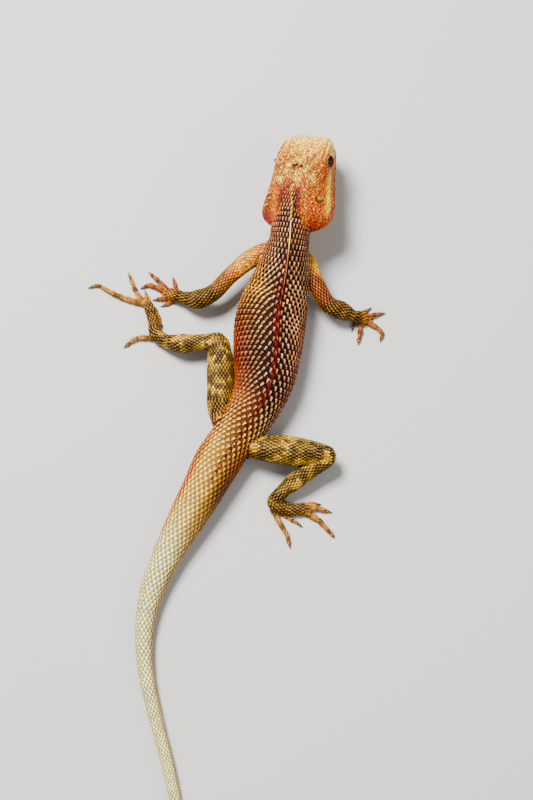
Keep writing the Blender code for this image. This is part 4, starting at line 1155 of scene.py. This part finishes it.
def head_scales(tree, surface):
    """Granules over the head, smallest round the eyes, with plates along lips and brows."""
    rings, straight = granule_rings()
    roots, number, sizes, unwraps = rows_on(rings, np.full(len(rings), GRANULE))
    lies = np.tile((0.0, -1.0, 0.0), (len(roots), 1))
    lies[number >= straight] = UP
    rear = number < len(REAR_ROWS)
    lies[rear] = roots[rear] * (-0.5, 0.0, -0.5) + (0.0, -3.0, 0.0)
    brow = brow_line()
    half = folded(roots)
    away = [np.linalg.norm(half - spot, axis=1) - reach for spot, reach in (
        (EYE_PLACE, EYE_RADIUS + 0.9), (EAR_PLACE, EAR_RADIUS + 0.35), (NOSTRIL, 0.9))]
    away.append(np.linalg.norm(half[:, None] - brow[None], axis=2).min(axis=1) - 0.65)
    keep = (np.min(away, axis=0) > 0.0) & (mouth_gap(roots) > 1.05) & (dots(roots) < 0.5)
    roots = roots + RANDOM.normal(0.0, 0.10, roots.shape)
    lies = lies + RANDOM.normal(0.0, 0.16, lies.shape)
    sizes = sizes * RANDOM.uniform(0.9, 1.25, len(sizes))
    parts = [(roots[keep], lies[keep], sizes[keep], unwraps[keep] * (0.4, 0.3) + (0.02, 0.36))]
    for side in (1.0, -1.0):
        small, ways, spots = lid_roots(side)
        parts.append((small, ways, np.full(len(small), LID_SCALE), spots))
        ways = np.tile(mirrored(side) * (0.25, -1.0, 0.0), (len(brow), 1))
        parts.append(plate_row(brow * mirrored(side), ways, 1.45, 0.3, 0.70))
    for lift in (PLATE_LIFT, -PLATE_LIFT):
        parts.append(plate_row(*lip_plates(lift), 1.25, 0.6, 0.72 + 0.01 * np.sign(lift)))
    roots, lies, sizes, unwraps = (np.concatenate(part) for part in zip(*parts))
    places, normals, kept = seat(tree, from_head(roots), np.where(roots[:, 1] < 0.0, 2.2, 0.9))
    local, head_out = in_head(places)
    kept &= (places[:, 2] > 0.1) & (head_out < in_trunk(places)[3] + 0.06) & ~on_nape(local)
    places, normals, lies, sizes, unwraps, local = (
        part[kept] for part in (places, normals, lies @ HEAD_TURN.T, sizes, unwraps, local))
    ahead = local[:, 1]
    edge = mix(BRICK * 0.7, AMBER * 0.8, ramp(ahead, 7.0, 18.0))
    keel = mix(STRAW, CREAM, ramp(ahead, 2.0, 14.0))
    fleck = ramp(blotch(places, 2.4, 41), 0.46, 0.76)
    # Pale keels and flecks, partly a painted highlight, only high on the head; dark scale edges, partly
    # painted shade, softer in the yellow band.
    pale_keel_and_highlight = 0.04 + 0.60 * fleck * ramp(ahead, -1.0, 7.0) + 0.2 * ramp(ahead, 15.0, 20.0)
    pale_keel_and_highlight = pale_keel_and_highlight * (1.0 - dots(local)) * ramp(local[:, 2], 2.0, 6.0)
    rim = np.where(sizes == LID_SCALE, 0.35, 0.95) * (1.0 - 0.6 * jaw_band(local))
    tint = scale_tints(places, edge, rim, keel, pale_keel_and_highlight, 0.3)
    scales("scales_head", PLATE_FORM, places, normals, lies, sizes * 0.92, sizes * 0.93, sizes * 0.15,
           unwraps, tint, surface)


def spine_mesh(name, roots, ways, alongs, lengths, radii, tints, surface):
    """Curved, tapering blades, flat along the back and bent to their tips.

    A ring's centre is the root plus level times length along the spine's way, plus 0.22 times
    level squared times length along the back. The ring is an ellipse of the two radii times its width.
    """
    levels = np.array((-0.18, 0.0, 0.3, 0.6, 0.85, 1.0))
    widths = np.array((1.0, 1.0, 0.86, 0.58, 0.28, 0.03))
    ways = unit(ways)
    across = unit(np.cross(ways, alongs))
    flat = np.cross(across, ways)
    bend = np.clip(levels, 0.0, 1.0) ** 2 * 0.22
    lengths = lengths[:, None, None]
    centre = (roots[:, None] + ways[:, None] * levels[:, None] * lengths
              + alongs[:, None] * bend[:, None] * lengths)
    broad, thin = (widths[:, None] * radii[:, None, axis:axis + 1] for axis in (0, 1))
    points = ellipses(centre, flat[:, None] * broad, across[:, None] * thin, 8)
    count, rows, around = points.shape[:3]
    sides, here = band_faces(rows, around)
    starts = np.arange(count)[:, None] * rows * around
    faces = (sides[None] + starts[:, None]).reshape(-1, 4).tolist()
    faces += (starts + here[0][::-1]).tolist() + (starts + here[-1]).tolist()
    made = mesh_object(name, points.reshape(-1, 3), faces)
    outward(made)
    # Painted shade and highlight: each spine is darker towards its root and lighter towards its tip.
    shade = np.clip(0.55 + 0.55 * levels, 0.3, 1.1)[None, :, None, None]
    paint(made, np.broadcast_to(tints[:, None, None] * shade, points.shape))
    made.data.materials.append(surface)
    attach(made, "root")


def build_crest(tree, surface):
    """Crest spines along nape, neck and back, and the small spines by the ears."""
    at = np.arange(CREST_START, ROOT + 4.0, 1.5)
    rows, right, over = trunk_frame(at)
    tailward = np.cross(right, over)
    roots = rows[:, :3] + over * (rows[:, 4:5] - COAT)
    front = from_head(head_rings(np.array((2.4,)), 1, -COAT)[0, :1])
    share = np.linspace(0.0, 1.0, 9)[:-1, None]
    crown = front * (1.0 - share) + roots[:1] * share + over[:1] * 2.0 * np.sin(share * math.pi)
    line = np.concatenate((seat(tree, crown, 5.0)[0], roots))
    for _ in range(12):
        line[1:-1] = (line[:-2] + 2.0 * line[1:-1] + line[2:]) / 4.0
    line = seat(tree, line, 5.0)[0]
    first = np.ones((len(crown), 1))
    back = unit(roots[0] - front[0])
    ways = np.concatenate((first * (back * 0.6 + HEAD_TURN @ UP * 0.8), over * 0.8 + tailward * 0.6))
    size = 1.0 - 0.77 * np.sqrt(at / ROOT).clip(0.0, 1.0)
    size = np.concatenate((np.linspace(0.4, 0.8, len(crown)), size))
    tints = layered(CREAM, (PINK * 0.6, ramp(at, 13.0, 18.0)), (RED * 0.5, ramp(at, 22.0, 30.0)))
    tints[::3] = mix(tints[::3], PINK, 0.5 * ramp(at[::3], 12.0, 20.0))
    broad = np.concatenate((first[:, 0], 1.0 + 0.6 * ramp(at, 22.0, 34.0)))
    radii = np.column_stack((CREST_RADIUS[0] * size ** 0.6, CREST_RADIUS[1] * size ** 0.5 * broad))
    spine_mesh("crest", line, ways, np.concatenate((first * back, tailward)), CREST_LENGTH * size, radii,
               np.concatenate((first * CREAM, tints)), surface)
    spots = [(mirrored(side), place, way) for side in (1.0, -1.0) for place, way in EAR_SPINES]
    roots = np.array([from_head(head_side(*place)[0] * mirror) for mirror, place, _ in spots])
    ways = np.array([HEAD_TURN @ (mirror * way) for mirror, _, way in spots])
    first = np.ones((len(roots), 1))
    spine_mesh("ear_spines", roots, ways, -first * HEAD_TURN[:, 1], np.tile(EAR_SPINE_LENGTHS, 2),
               first * EAR_SPINE_RADII, first * STRAW, surface)


def build_eyes():
    """Eyeballs with a round pupil in a dark amber ring, and the ear drums."""
    glass, nodes, links, shader = new_material("eye", 0.12)
    links.new(painted(nodes), shader.inputs["Base Color"])
    shader.inputs["Specular IOR Level"].default_value = 0.3
    drum = skin_material("ear_drum", 0.6, 0.1, 0.3)
    for side, label in ((1.0, "right"), (-1.0, "left")):
        centre, gaze = mirrored(side) * EYE_PLACE, mirrored(side) * LID_GAZE
        gaze = unit(gaze)
        eye = head_ball("eye_ball_" + label, centre, EYE_RADIUS, 40, 64)
        facing = (to_head(mesh_points(eye)) - centre) @ gaze / EYE_RADIUS
        angle = np.arccos(np.clip(facing, -1.0, 1.0))
        tint = mix(DARK * 0.3, AMBER * 0.4, ramp(angle, *PUPIL_EDGE))
        paint(eye, mix(tint, BROWN, ramp(angle, *IRIS_EDGE)))
        eye.data.materials.append(glass)
        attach(eye, "root")
        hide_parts("eye_" + label)
        centre = mirrored(side) * (EAR_PLACE - 0.3 * EAR_FACING)
        ear = shell("drum_" + label, ear_rings(centre, side, (0.35, EAR_RADIUS), 12, 28))
        away = np.linalg.norm(to_head(mesh_points(ear)) - centre, axis=1) / EAR_RADIUS
        paint(ear, mix(CREAM * 0.35, AMBER * 0.4, ramp(away, 0.35, 0.85)))
        ear.data.materials.append(drum)
        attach(ear, "root")
        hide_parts("ear_" + label)


def build_claws():
    """Curved dark claws at the ends of the digits, joined in one piece."""
    made = []
    for fingers in DIGITS.values():
        for finger in fingers:
            stations = digit_stations(*finger)
            ahead = unit(stations[-1, :2] - stations[-2, :2])
            end = stations[-1, :3] + (0.0, 0.0, 0.15)
            places = end + np.column_stack((np.outer(CLAW_ROWS[:, 0] * CLAW_LENGTH, ahead), CLAW_ROWS[:, 1]))
            sizes = CLAW_RADIUS * CLAW_ROWS[:, 2:]
            made.append(shell("claw", tube_rings(np.hstack((places, sizes * 0.8, sizes)), 10, 8)))
    claws = join(made, "claws")
    claws.data.materials.append(plain_material("claw", CLAW, 0.3, 0.4))
    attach(claws, "root")


def build_stage():
    """Pale floor, soft lights and the camera that looks down as the photo does."""
    floor = mesh_object("floor", FLOOR_CORNERS + ORIGIN, [(0, 1, 2, 3)], smooth=False)
    floor.data.materials.append(plain_material("floor", FLOOR, 0.9))
    world = bpy.data.worlds.new("studio")
    bpy.context.scene.world = world
    world.use_nodes = True
    world.node_tree.nodes["Background"].inputs["Color"].default_value = SKY_TINT
    world.node_tree.nodes["Background"].inputs["Strength"].default_value = SKY_STRENGTH
    for place, size, power in LIGHTS:
        light = bpy.data.lights.new("soft", "AREA")
        light.size = size
        light.energy = power
        lamp = placed("soft", light)
        lamp.location = place
        lamp.rotation_euler = (LIGHT_AIM - lamp.location).to_track_quat("-Z", "Y").to_euler()
    camera = placed("camera", bpy.data.cameras.new("camera"))
    elevation = math.radians(CAMERA_ELEVATION)
    away = np.array((0.0, -math.cos(elevation), math.sin(elevation))) * CAMERA_DISTANCE
    camera.location = (away - ORIGIN) * MM
    camera.rotation_euler = (math.radians(90.0 - CAMERA_ELEVATION), 0.0, 0.0)
    camera.data.sensor_fit = "VERTICAL"
    camera.data.sensor_height = 36.0
    camera.data.lens = CAMERA_LENS
    camera.data.clip_start = 0.01
    bpy.context.scene.camera = camera


def main():
    """Builds the looks round the loaded part."""
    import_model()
    skin = build_skin()
    # The skin under and between the scales is painted at under a third of the markings: partly darker skin,
    # partly painted shade in the gaps.
    paint(skin, markings(mesh_points(skin)) * 0.3)
    skin.data.materials.clear()
    skin.data.materials.append(skin_material("skin", 0.55, 0.4, 0.8))
    skin.data.polygons.foreach_set("material_index", np.zeros(len(skin.data.polygons), dtype=int))
    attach(skin, "root")
    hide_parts("head", "neck", "torso", "pelvis", *("tail_%d" % n for n in range(1, 7)),
                *(part + side for part in ("upper_arm", "forearm", "hand", "thigh", "shin", "foot")
                  for side in ("_left", "_right")))
    tree = BVHTree.FromObject(skin, bpy.context.evaluated_depsgraph_get())
    scale = skin_material("scale", 0.42, 0.3, 0.35)
    trunk_scales(tree, scale)
    limb_scales(tree, scale)
    head_scales(tree, scale)
    build_crest(tree, scale)
    build_eyes()
    build_claws()
    build_stage()


main()
